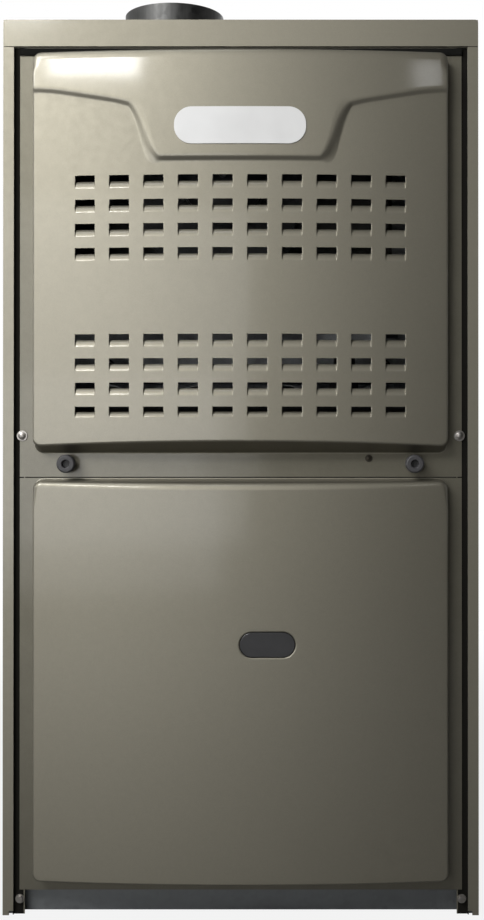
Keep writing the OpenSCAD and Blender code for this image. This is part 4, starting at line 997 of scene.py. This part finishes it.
face_rim = 0.0004
socket_radius = 0.0032
socket_shade_black = (0.003, 0.003, 0.003)
stud_steel = ((0.45, 0.44, 0.42), 1.0, 0.35)
for name in ["thumbscrew_left", "thumbscrew_right"]:
    low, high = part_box(name)
    middle = (low + high) / 2
    nylon = moulded(name + "_nylon", (0.03, 0.029, 0.031), 0.5, 0.0009)
    behind_face = part_of(nylon, (None, low.y + face_rim, None))
    in_socket = maths(nylon.node_tree, "MULTIPLY", in_bore(nylon, middle, socket_radius), behind_face)
    # Painted shade: the inside of the socket is darker than the nylon.
    set_where(nylon, in_socket, "Base Color", socket_shade_black)
    stud = part_of(nylon, (None, border_y - 0.0005, None))
    made_of(nylon, stud, *stud_steel)
    wear(name, nylon, 0.0005)


# The wrapper's gasket: black foam colour on the seat of the wrapper behind the side edges of both doors,
# painted shade for the dark gap beside the doors. It is matt, so the paint's clear coat ends at it.
wrapper_paint_and_shade = pebble_paint.copy()
wrapper_paint_and_shade.name = "pebble_paint_and_gap_shade"
gap_shade_black = ((0.008, 0.0075, 0.006), 0.0, 0.95)
strip_inner = 0.2035
strip_outer = 0.2136
strip_depth = 0.004
seat_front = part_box("cabinet_wrapper")[0].y + 0.0012
for side in (-1, 1):
    near, far = sorted([side * strip_inner, side * strip_outer])
    # Painted shade: the seat turns black where the gap beside the doors lies in shade.
    strip = part_of(wrapper_paint_and_shade, (near, seat_front, None), (far, seat_front + strip_depth, None))
    made_of(wrapper_paint_and_shade, strip, *gap_shade_black)
    set_where(wrapper_paint_and_shade, strip, "Coat Weight", 0.0)
    set_where(wrapper_paint_and_shade, strip, "Specular IOR Level", 0.1)
wear("cabinet_wrapper", wrapper_paint_and_shade)


# The screws: zinc-plated steel. Two dome heads hold the upper door's ears, a small one its gasket strip, and
# hex-washer ones the cap, the rail and the deck. Cold heading leaves them smooth, with a dull shine. The small
# one is painted dark as painted shade, for the shadow under the upper door that it sits in.
small_screw_span = (0.07, 0.16)
dark_for_shade = ((0.045, 0.04, 0.032), 1.0, 0.5)
plated = new_material("zinc_plated", (0.30, 0.285, 0.265), 1.0, 0.4)
colour_between(plated, noise_on(plated, 0.003), (0.25, 0.235, 0.215), (0.34, 0.325, 0.305))
roughness_between(plated, noise_on(plated, 0.0006), 0.33, 0.5)
relief_from(plated, noise_on(plated, 0.0008), 0.00001, 0.3)
plated_and_shaded = plated.copy()
plated_and_shaded.name = "zinc_plated_and_painted_shade"
# Painted shade: the small screw is dark for the shadow it lies in.
small_screw = part_of(plated_and_shaded, (small_screw_span[0], None, None), (small_screw_span[1], None, None))
made_of(plated_and_shaded, small_screw, *dark_for_shade)
wear("door_screws", plated_and_shaded, 0.0003)
wear("cabinet_screws", plated, 0.0003)


# The liners: glass-fibre board with reinforced foil on the side towards the heat exchangers, glued to the
# inside of the wrapper. The foil is creased and shows the threads of its backing; the cut edges are yellow.
def varied(material, value, colours, roughnesses, depth, strength):
    """Colour, gloss and relief that follow one value."""
    colour_between(material, value, *colours)
    roughness_between(material, value, *roughnesses)
    relief_from(material, value, depth, strength)


def bands_on(material, scale, direction):
    """Even bands across an axis, as a value from 0 to 1."""
    bands = material.node_tree.nodes.new("ShaderNodeTexWave")
    bands.bands_direction = direction
    bands.inputs["Scale"].default_value = scale
    lay_over(material, bands)
    return bands.outputs["Fac"]


foil_skin = 0.0004
foil_shades = ((0.5, 0.5, 0.51), (0.66, 0.66, 0.67))
glass_fibre = ((0.55, 0.42, 0.13), 0.0, 0.9)
thread_scale = 32.0
for name, axis, side in [("left_liner", 0, 1), ("right_liner", 0, -1), ("back_liner", 1, -1)]:
    low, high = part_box(name)
    foil = new_material(name + "_foil", (0.62, 0.62, 0.63), 1.0, 0.32)
    varied(foil, noise_on(foil, 0.035, detail=5.0, spread=0.25), foil_shades, (0.26, 0.42), 0.0012, 0.5)
    relief_from(foil, bands_on(foil, thread_scale, "Z"), 0.0002, 0.3)
    core_low, core_high = [None] * 3, [None] * 3
    if side > 0:
        core_high[axis] = high[axis] - foil_skin
    else:
        core_low[axis] = low[axis] + foil_skin
    made_of(foil, part_of(foil, core_low, core_high), *glass_fibre)
    wear(name, foil, 0.0008)


# The inner sheets: the bottom panel, the blower deck with the lip that both doors seat on, and the vestibule
# panel with the mouths of the heat exchangers. Galvanised steel, punched, folded and screwed to the wrapper;
# the front of the lip is painted black as painted shade, for the dark joint between the doors.
bright_zinc = zinc_sheet("bright_zinc", (0.40, 0.41, 0.42), 0.007, 0.16, 0.42)
for name in ["bottom_panel", "vestibule_panel"]:
    wear(name, bright_zinc, 0.0005)
lip_shade_black = ((0.027, 0.025, 0.021), 0.0, 0.95)
lip_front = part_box("blower_deck")[0].y
deck_zinc_and_lip_shade = bright_zinc.copy()
deck_zinc_and_lip_shade.name = "deck_zinc_and_painted_shade"
# Painted shade: the lip's front is dark where the joint between the doors lies in shade.
lip_shade_mask = part_of(deck_zinc_and_lip_shade, high=(None, lip_front + 0.0003, None))
made_of(deck_zinc_and_lip_shade, lip_shade_mask, *lip_shade_black)
wear("blower_deck", deck_zinc_and_lip_shade, 0.0005)


# The heat exchangers: four cells of aluminised steel, each pressed in two halves that are crimped round the
# rim, with four passes for the flue gas. The flame has tinted the ends that it enters by.
def along(material, axis, start, end):
    """A value that grows from 0 to 1 between two places along an axis."""
    tree = material.node_tree
    return smooth_step(tree, place_in(tree)[axis], start, end)


def aluminised(name, colour=(0.50, 0.50, 0.49), roughness=0.44):
    """Steel dipped in aluminium: a fine grey grain, drawn along the sheet."""
    material = new_material(name, colour, 1.0, roughness)
    grain = noise_on(material, 0.0011, stretch=(1.0, 0.25, 1.0), detail=3.0)
    colour_between(material, grain, shaded(colour, 0.88), shaded(colour, 1.08))
    colour_between(material, noise_on(material, 0.05), (0.9, 0.9, 0.9), (1.0, 1.0, 1.0))
    roughness_between(material, grain, roughness - 0.08, roughness + 0.08)
    relief_from(material, noise_on(material, 0.004), 0.00003, 0.25)
    return material


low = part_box("heat_exchanger_1")[0]
cell_steel = aluminised("cell_steel")
colour_between(cell_steel, along(cell_steel, "Y", low.y, low.y + 0.11), (0.62, 0.54, 0.47), (1.0, 1.0, 1.0))
colour_between(cell_steel, along(cell_steel, "Z", low.z, low.z + 0.15), (0.78, 0.74, 0.72), (1.0, 1.0, 1.0))
for i in range(1, 5):
    wear(f"heat_exchanger_{i}", cell_steel)


# The burners: four inshot burners of aluminised steel, each a bell mouth, a throat and a flame holder. The
# holders at the back are blued and straw-coloured by the flame.
tinted_length = 0.045
burner_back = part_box("burner_1")[1].y
burner_steel = aluminised("burner_steel", (0.47, 0.47, 0.46), 0.4)
tint = along(burner_steel, "Y", burner_back - tinted_length, burner_back)
colour_between(burner_steel, tint, (1.0, 1.0, 1.0), (0.42, 0.36, 0.42))
for i in range(1, 5):
    wear(f"burner_{i}", burner_steel)


# The burner box: folded galvanised sheet, open at the front, that carries the burners, the manifold and the
# two roll-out switches.
box_zinc = zinc_sheet("box_zinc", (0.36, 0.37, 0.375), 0.006, 0.15, 0.45)
wear("burner_box", box_zinc, 0.0004)


# The manifold: black iron pipe with a cast cap at each end, and a short rise to the gas valve. Mill scale
# gives the iron its rough, patchy black.
iron = new_material("black_iron", (0.022, 0.021, 0.021), 0.3, 0.48)
mill_scale = noise_on(iron, 0.003, detail=4.0)
varied(iron, mill_scale, ((0.014, 0.013, 0.013), (0.034, 0.032, 0.031)), (0.38, 0.6), 0.00008, 0.4)
wear("manifold_pipe", iron, 0.0006)


# The orifices: four hexagon brass spuds, turned from bar and screwed into the manifold, each with a drilled
# hole that meters the gas.
brass = new_material("turned_brass", (0.60, 0.42, 0.16), 1.0, 0.28)
turning = noise_on(brass, 0.0004, stretch=(0.2, 1.0, 0.2), detail=3.0)
varied(brass, turning, ((0.52, 0.36, 0.13), (0.66, 0.47, 0.19)), (0.22, 0.36), 0.00001, 0.3)
wear("gas_orifices", brass, 0.0003)


# The gas valve: a die-cast aluminium body with a black coil cover and a plated regulator cap on top, a boss
# for the gas pipe on its right side, and a black on-off knob that turns a quarter turn in its face.
low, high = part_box("gas_valve")
body_top = high.z - 0.031
coil_left = low.x + 0.0098
coil_right = low.x + 0.0322
coil_foot = body_top + 0.0004
coil_top = body_top + 0.0203
cap_foot = body_top + 0.0232
coil_black = ((0.02, 0.02, 0.021), 0.0, 0.42)
yellow_plated = ((0.5, 0.36, 0.14), 1.0, 0.3)
cast = new_material("die_cast", (0.42, 0.43, 0.44), 0.9, 0.46)
skin = noise_on(cast, 0.0016, detail=3.0)
varied(cast, skin, ((0.36, 0.37, 0.38), (0.47, 0.48, 0.49)), (0.38, 0.56), 0.00006, 0.45)
made_of(cast, part_of(cast, (coil_left, None, coil_foot), (coil_right, None, coil_top)), *coil_black)
made_of(cast, part_of(cast, (None, None, cap_foot)), *yellow_plated)
wear("gas_valve", cast, 0.0006)
valve_knob_plastic = moulded("valve_knob_plastic", (0.022, 0.022, 0.023), 0.42)
wear("gas_valve_knob", valve_knob_plastic, 0.0005)


# The ignitor and the flame sensor: each a body of pale glazed steatite screwed to a side of the burner box.
# The sensor's mounting plate and its terminal are steel.
steatite = new_material("steatite", (0.66, 0.62, 0.53), 0.0, 0.4)
speckle = noise_on(steatite, 0.0008, detail=4.0)
varied(steatite, speckle, ((0.58, 0.54, 0.45), (0.70, 0.66, 0.58)), (0.32, 0.5), 0.00004, 0.3)
colour_between(steatite, noise_on(steatite, 0.01), (0.92, 0.9, 0.87), (1.0, 1.0, 1.0))
wear("ignitor", steatite, 0.0006)
terminal_length = 0.0085
plate_thickness = 0.0031
terminal_steel = ((0.5, 0.5, 0.5), 1.0, 0.3)
plate_steel = ((0.45, 0.45, 0.46), 1.0, 0.4)
low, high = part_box("flame_sensor")
sensor = steatite.copy()
sensor.name = "steatite_and_steel"
made_of(sensor, part_of(sensor, (high.x - terminal_length, None, None)), *terminal_steel)
made_of(sensor, part_of(sensor, high=(low.x + plate_thickness, None, None)), *plate_steel)
wear("flame_sensor", sensor, 0.0004)


# The roll-out switches: black phenolic discs with tinned tabs, one over each end of the burner box, each with
# a red button that springs out when the switch trips. The limit switch sits on the vestibule panel and reaches
# through it with a steel tube.
tab_length = 0.0068
cup_depth = 0.0049
tinned = ((0.55, 0.54, 0.52), 1.0, 0.3)
cup_aluminium = ((0.5, 0.5, 0.51), 1.0, 0.35)
low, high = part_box("rollout_switches")
phenolic = moulded("phenolic", (0.02, 0.019, 0.018), 0.4)
made_of(phenolic, part_of(phenolic, high=(None, low.y + tab_length, None)), *tinned)
made_of(phenolic, part_of(phenolic, (None, high.y - cup_depth, None)), *cup_aluminium)
wear("rollout_switches", phenolic, 0.0003)
red = moulded("red_button", (0.42, 0.018, 0.014), 0.38)
for name in ["reset_button_left", "reset_button_right"]:
    wear(name, red, 0.0004)
limit_tab_length = 0.0088
plate_and_tube = 0.0566
tube_steel = ((0.5, 0.5, 0.51), 1.0, 0.38)
low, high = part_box("limit_switch")
limit = moulded("limit_phenolic", (0.021, 0.02, 0.019), 0.4)
made_of(limit, part_of(limit, high=(None, low.y + limit_tab_length, None)), *tinned)
made_of(limit, part_of(limit, (None, high.y - plate_and_tube, None)), *tube_steel)
wear("limit_switch", limit, 0.0003)


# The collector box: a dark drawn steel box over the outlets of the heat exchangers, screwed to the vestibule
# panel. Condensed flue gas has left it mottled.
collector_steel = zinc_sheet("collector_steel", (0.15, 0.15, 0.146), 0.005, 0.12, 0.5)
stain = noise_on(collector_steel, 0.045, detail=5.0)
colour_between(collector_steel, stain, (0.72, 0.68, 0.62), (1.0, 1.0, 1.0))
wear("collector_box", collector_steel, 0.0006)


# The draught inducer: a galvanised scroll housing on the collector, a stamped wheel inside it, a black motor
# in front of it on three legs, and a black cooling fan on the motor's shaft.
inducer_zinc = zinc_sheet("inducer_zinc", (0.13, 0.132, 0.134), 0.005, 0.12, 0.46)
wear("inducer_housing", inducer_zinc, 0.0005)


def enamelled(name, colour, roughness=0.36):
    """Baked enamel on steel or castings, with a slight peel."""
    material = new_material(name, colour, 0.0, roughness)
    surface_of(material)["Coat Weight"].default_value = 0.3
    surface_of(material)["Coat Roughness"].default_value = 0.2
    dust = noise_on(material, 0.02, detail=4.0)
    colour_between(material, dust, shaded(colour, 0.85), shaded(colour, 1.2))
    roughness_between(material, dust, roughness - 0.05, roughness + 0.07)
    relief_from(material, noise_on(material, 0.0018), 0.00005, 0.35)
    return material


wear("inducer_motor", enamelled("inducer_enamel", (0.026, 0.027, 0.029)), 0.0005)
wheel_zinc = zinc_sheet("wheel_zinc", (0.38, 0.385, 0.39), 0.004, 0.14, 0.42)
wear("inducer_wheel", wheel_zinc)
fan_plastic = moulded("fan_plastic", (0.016, 0.016, 0.017), 0.38)
wear("inducer_fan", fan_plastic, 0.0003)


# The flue transition: an elbow of black heat-proof plastic, moulded in one piece, square over the inducer and
# round in the collar.
transition_plastic = moulded("transition_plastic", (0.019, 0.019, 0.019), 0.48, 0.0011, 0.00003)
wear("flue_transition", transition_plastic)


# The pressure switch: a black diaphragm case between crimped steel shells, on a bracket on the left wall, and
# the black silicone hose that brings the inducer's suction to it.
bracket_zinc = ((0.38, 0.385, 0.39), 1.0, 0.42)
shell_steel = ((0.4, 0.4, 0.39), 1.0, 0.36)
case_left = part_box("pressure_switch")[0].x
bracket_right = case_left + 0.0016
shell_left = case_left + 0.0064
shell_right = case_left + 0.0176
case = moulded("diaphragm_case", (0.02, 0.02, 0.021), 0.42)
made_of(case, part_of(case, high=(bracket_right, None, None)), *bracket_zinc)
made_of(case, part_of(case, (shell_left, None, None), (shell_right, None, None)), *shell_steel)
wear("pressure_switch", case, 0.0003)
silicone = moulded("silicone_hose", (0.018, 0.018, 0.018), 0.5, 0.0006)
wear("pressure_hose", silicone)


# The wiring box: a small galvanised box with a screwed lid in the upper left corner, where the house's cable
# is joined inside the wall's knock-out.
wear("wiring_box", zinc_sheet("wiring_zinc", (0.36, 0.365, 0.37), 0.005, 0.16, 0.42), 0.0005)


# The blower housing: two galvanised side plates with rolled inlet rings, lock-seamed to the scroll, and the
# strap with three arms that holds the motor in the left inlet.
blower_zinc = zinc_sheet("blower_zinc", (0.37, 0.38, 0.385), 0.008, 0.2, 0.42)
for name in ["blower_side_left", "blower_side_right", "blower_scroll"]:
    wear(name, blower_zinc)
wear("motor_mount", zinc_sheet("mount_zinc", (0.33, 0.335, 0.34), 0.005, 0.14, 0.45), 0.0004)


# The blower wheel: forty-two galvanised blades locked into two rims and a centre disc on a hub, on a ground
# steel shaft. The motor is a black open-frame one with vents in its end shield.
blade_zinc = zinc_sheet("blade_zinc", (0.33, 0.335, 0.34), 0.004, 0.18, 0.4)
wear("blower_wheel", blade_zinc)
ground = new_material("ground_steel", (0.5, 0.5, 0.5), 1.0, 0.2)
rings = noise_on(ground, 0.0003, stretch=(1.0, 0.1, 0.1), detail=3.0)
varied(ground, rings, ((0.42, 0.42, 0.42), (0.56, 0.56, 0.56)), (0.14, 0.3), 0.000005, 0.3)
wear("blower_shaft", ground, 0.0004)
wear("blower_motor", enamelled("blower_enamel", (0.03, 0.031, 0.034), 0.4), 0.0006)


# The run capacitor: an oval can of drawn aluminium, closed over a black sealing ring just under its top edge,
# with two tabs. It is strapped to the blower's right side plate.
ring_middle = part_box("run_capacitor")[1].z - 0.00875
ring_half = 0.00035
ring_black = ((0.02, 0.02, 0.02), 0.0, 0.4)
can = new_material("drawn_can", (0.52, 0.53, 0.54), 1.0, 0.3)
drawn = noise_on(can, 0.0009, stretch=(1.0, 1.0, 0.03), detail=4.0)
varied(can, drawn, ((0.44, 0.45, 0.46), (0.58, 0.59, 0.6)), (0.22, 0.38), 0.00001, 0.3)
ring = part_of(can, (None, None, ring_middle - ring_half), (None, None, ring_middle + ring_half))
made_of(can, ring, *ring_black)
wear("run_capacitor", can, 0.0005)


# The control tray: a galvanised shelf hung under the deck behind the lower door. It carries the transformer,
# whose stack of thin iron sheets and taped winding show before its mounting plate, and the control board.
wear("control_tray", zinc_sheet("tray_zinc", (0.36, 0.365, 0.37), 0.006, 0.16, 0.42), 0.0004)
winding_tape = ((0.52, 0.36, 0.10), 0.0, 0.45)
plate_zinc = ((0.36, 0.365, 0.37), 1.0, 0.42)
sheet_scale = 620.0
winding_inset = 0.0065
winding_foot = 0.0175
winding_top = 0.0525
winding_back = 0.0402
plate_depth = 0.0021
low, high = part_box("transformer")
stack = enamelled("transformer_iron", (0.045, 0.045, 0.048), 0.45)
relief_from(stack, bands_on(stack, sheet_scale, "Y"), 0.0001, 0.5)
winding = part_of(stack, (low.x + winding_inset, None, low.z + winding_foot),
                  (high.x - winding_inset, high.y - winding_back, low.z + winding_top))
made_of(stack, winding, *winding_tape)
made_of(stack, part_of(stack, (None, high.y - plate_depth, None)), *plate_zinc)
wear("transformer", stack, 0.0005)


# The control board: green glass-epoxy laminate on pale nylon posts, with three relays and a power relay in
# black cases, a white terminal strip with plated screws, a white plug, a black chip, four capacitors and a red
# lamp soldered to its copper tracks.
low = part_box("control_board")[0]
board_front = low.y + 0.016
board_back = board_front + 0.0018
relay_pitch = 0.03
nylon_white = ((0.6, 0.58, 0.52), 0.0, 0.5)
screw_steel = ((0.5, 0.5, 0.5), 1.0, 0.3)
relay_black = ((0.017, 0.018, 0.02), 0.0, 0.35)
power_relay_black = ((0.02, 0.02, 0.021), 0.0, 0.35)
strip_white = ((0.60, 0.58, 0.52), 0.0, 0.4)
plug_white = ((0.62, 0.6, 0.55), 0.0, 0.4)
chip_black = ((0.014, 0.014, 0.015), 0.0, 0.3)
capacitor_blue = ((0.02, 0.03, 0.07), 0.0, 0.3)
lamp_red = ((0.5, 0.02, 0.01), 0.0, 0.2)

# What stands on the board, as its left, right, foot and top from the board's lower left corner.
fittings = [(0.0119 + relay_pitch * i, 0.0341 + relay_pitch * i, 0.0659, 0.0921, relay_black)
            for i in range(3)]
fittings += [
    (0.1079, 0.1401, 0.0579, 0.0941, power_relay_black),
    (0.0199, 0.0901, 0.0059, 0.0161, strip_white),
    (0.1039, 0.1241, 0.0079, 0.0241, plug_white),
    (0.0119, 0.0401, 0.0299, 0.0501, chip_black),
    (0.0868, 0.1112, 0.0328, 0.0562, capacitor_blue),
    (0.0613, 0.0667, 0.0413, 0.0467, lamp_red),
]

laminate = new_material("board_laminate", (0.012, 0.085, 0.03), 0.0, 0.36)
weave = noise_on(laminate, 0.004, detail=3.0)
colour_between(laminate, weave, (0.009, 0.07, 0.024), (0.016, 0.1, 0.036))
tree = laminate.node_tree
tracks = tree.nodes.new("ShaderNodeTexBrick")
tracks.offset = 0.37
tracks.offset_frequency = 3
tracks.inputs["Scale"].default_value = 60.0
tracks.inputs["Brick Width"].default_value = 0.9
tracks.inputs["Row Height"].default_value = 0.085
tracks.inputs["Mortar Size"].default_value = 0.014
turned = tree.nodes.new("ShaderNodeMapping")
turned.inputs["Rotation"].default_value = (math.radians(90.0), 0.0, 0.0)
place = tree.nodes.new("ShaderNodeTexCoord")
link(tree, place.outputs["Object"], turned.inputs["Vector"])
link(tree, turned.outputs["Vector"], tracks.inputs["Vector"])
tracked = smooth_step(tree, noise_on(laminate, 0.016, detail=1.0), 0.4, 0.45)
copper = maths(tree, "MULTIPLY", tracks.outputs["Fac"], tracked)
colour_between(laminate, copper, (1.0, 1.0, 1.0), (1.6, 1.45, 1.25))
roughness_between(laminate, weave, 0.3, 0.42)
relief_from(laminate, copper, 0.00004, 0.4)
for left, right, foot, top, finish in fittings:
    before_board = part_of(laminate, (low.x + left, None, low.z + foot),
                           (low.x + right, board_front - 0.0002, low.z + top))
    made_of(laminate, before_board, *finish)
screw_heads = part_of(laminate, (low.x + 0.0215, low.y + 0.0029, low.z + 0.0075),
                      (low.x + 0.0885, low.y + 0.0049, low.z + 0.0145))
made_of(laminate, screw_heads, *screw_steel)
made_of(laminate, part_of(laminate, (None, board_back, None)), *nylon_white)
wear("control_board", laminate, 0.0003)


# The door switch: a black snap switch on a steel bracket under the deck. Its pale acetal plunger is held in by
# the closed lower door and springs out when the door is taken away.
bracket_reach = (0.0199, 0.0221)
terminals_behind = 0.0261
terminal_brass = ((0.55, 0.42, 0.2), 1.0, 0.3)
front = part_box("door_switch")[0].y
snap = moulded("switch_case", (0.019, 0.019, 0.02), 0.4)
bracket = part_of(snap, (None, front + bracket_reach[0], None), (None, front + bracket_reach[1], None))
made_of(snap, bracket, *bracket_zinc)
made_of(snap, part_of(snap, (None, front + terminals_behind, None)), *terminal_brass)
wear("door_switch", snap, 0.0003)
acetal = moulded("acetal", (0.58, 0.56, 0.5), 0.4)
wear("door_switch_plunger", acetal, 0.0004)
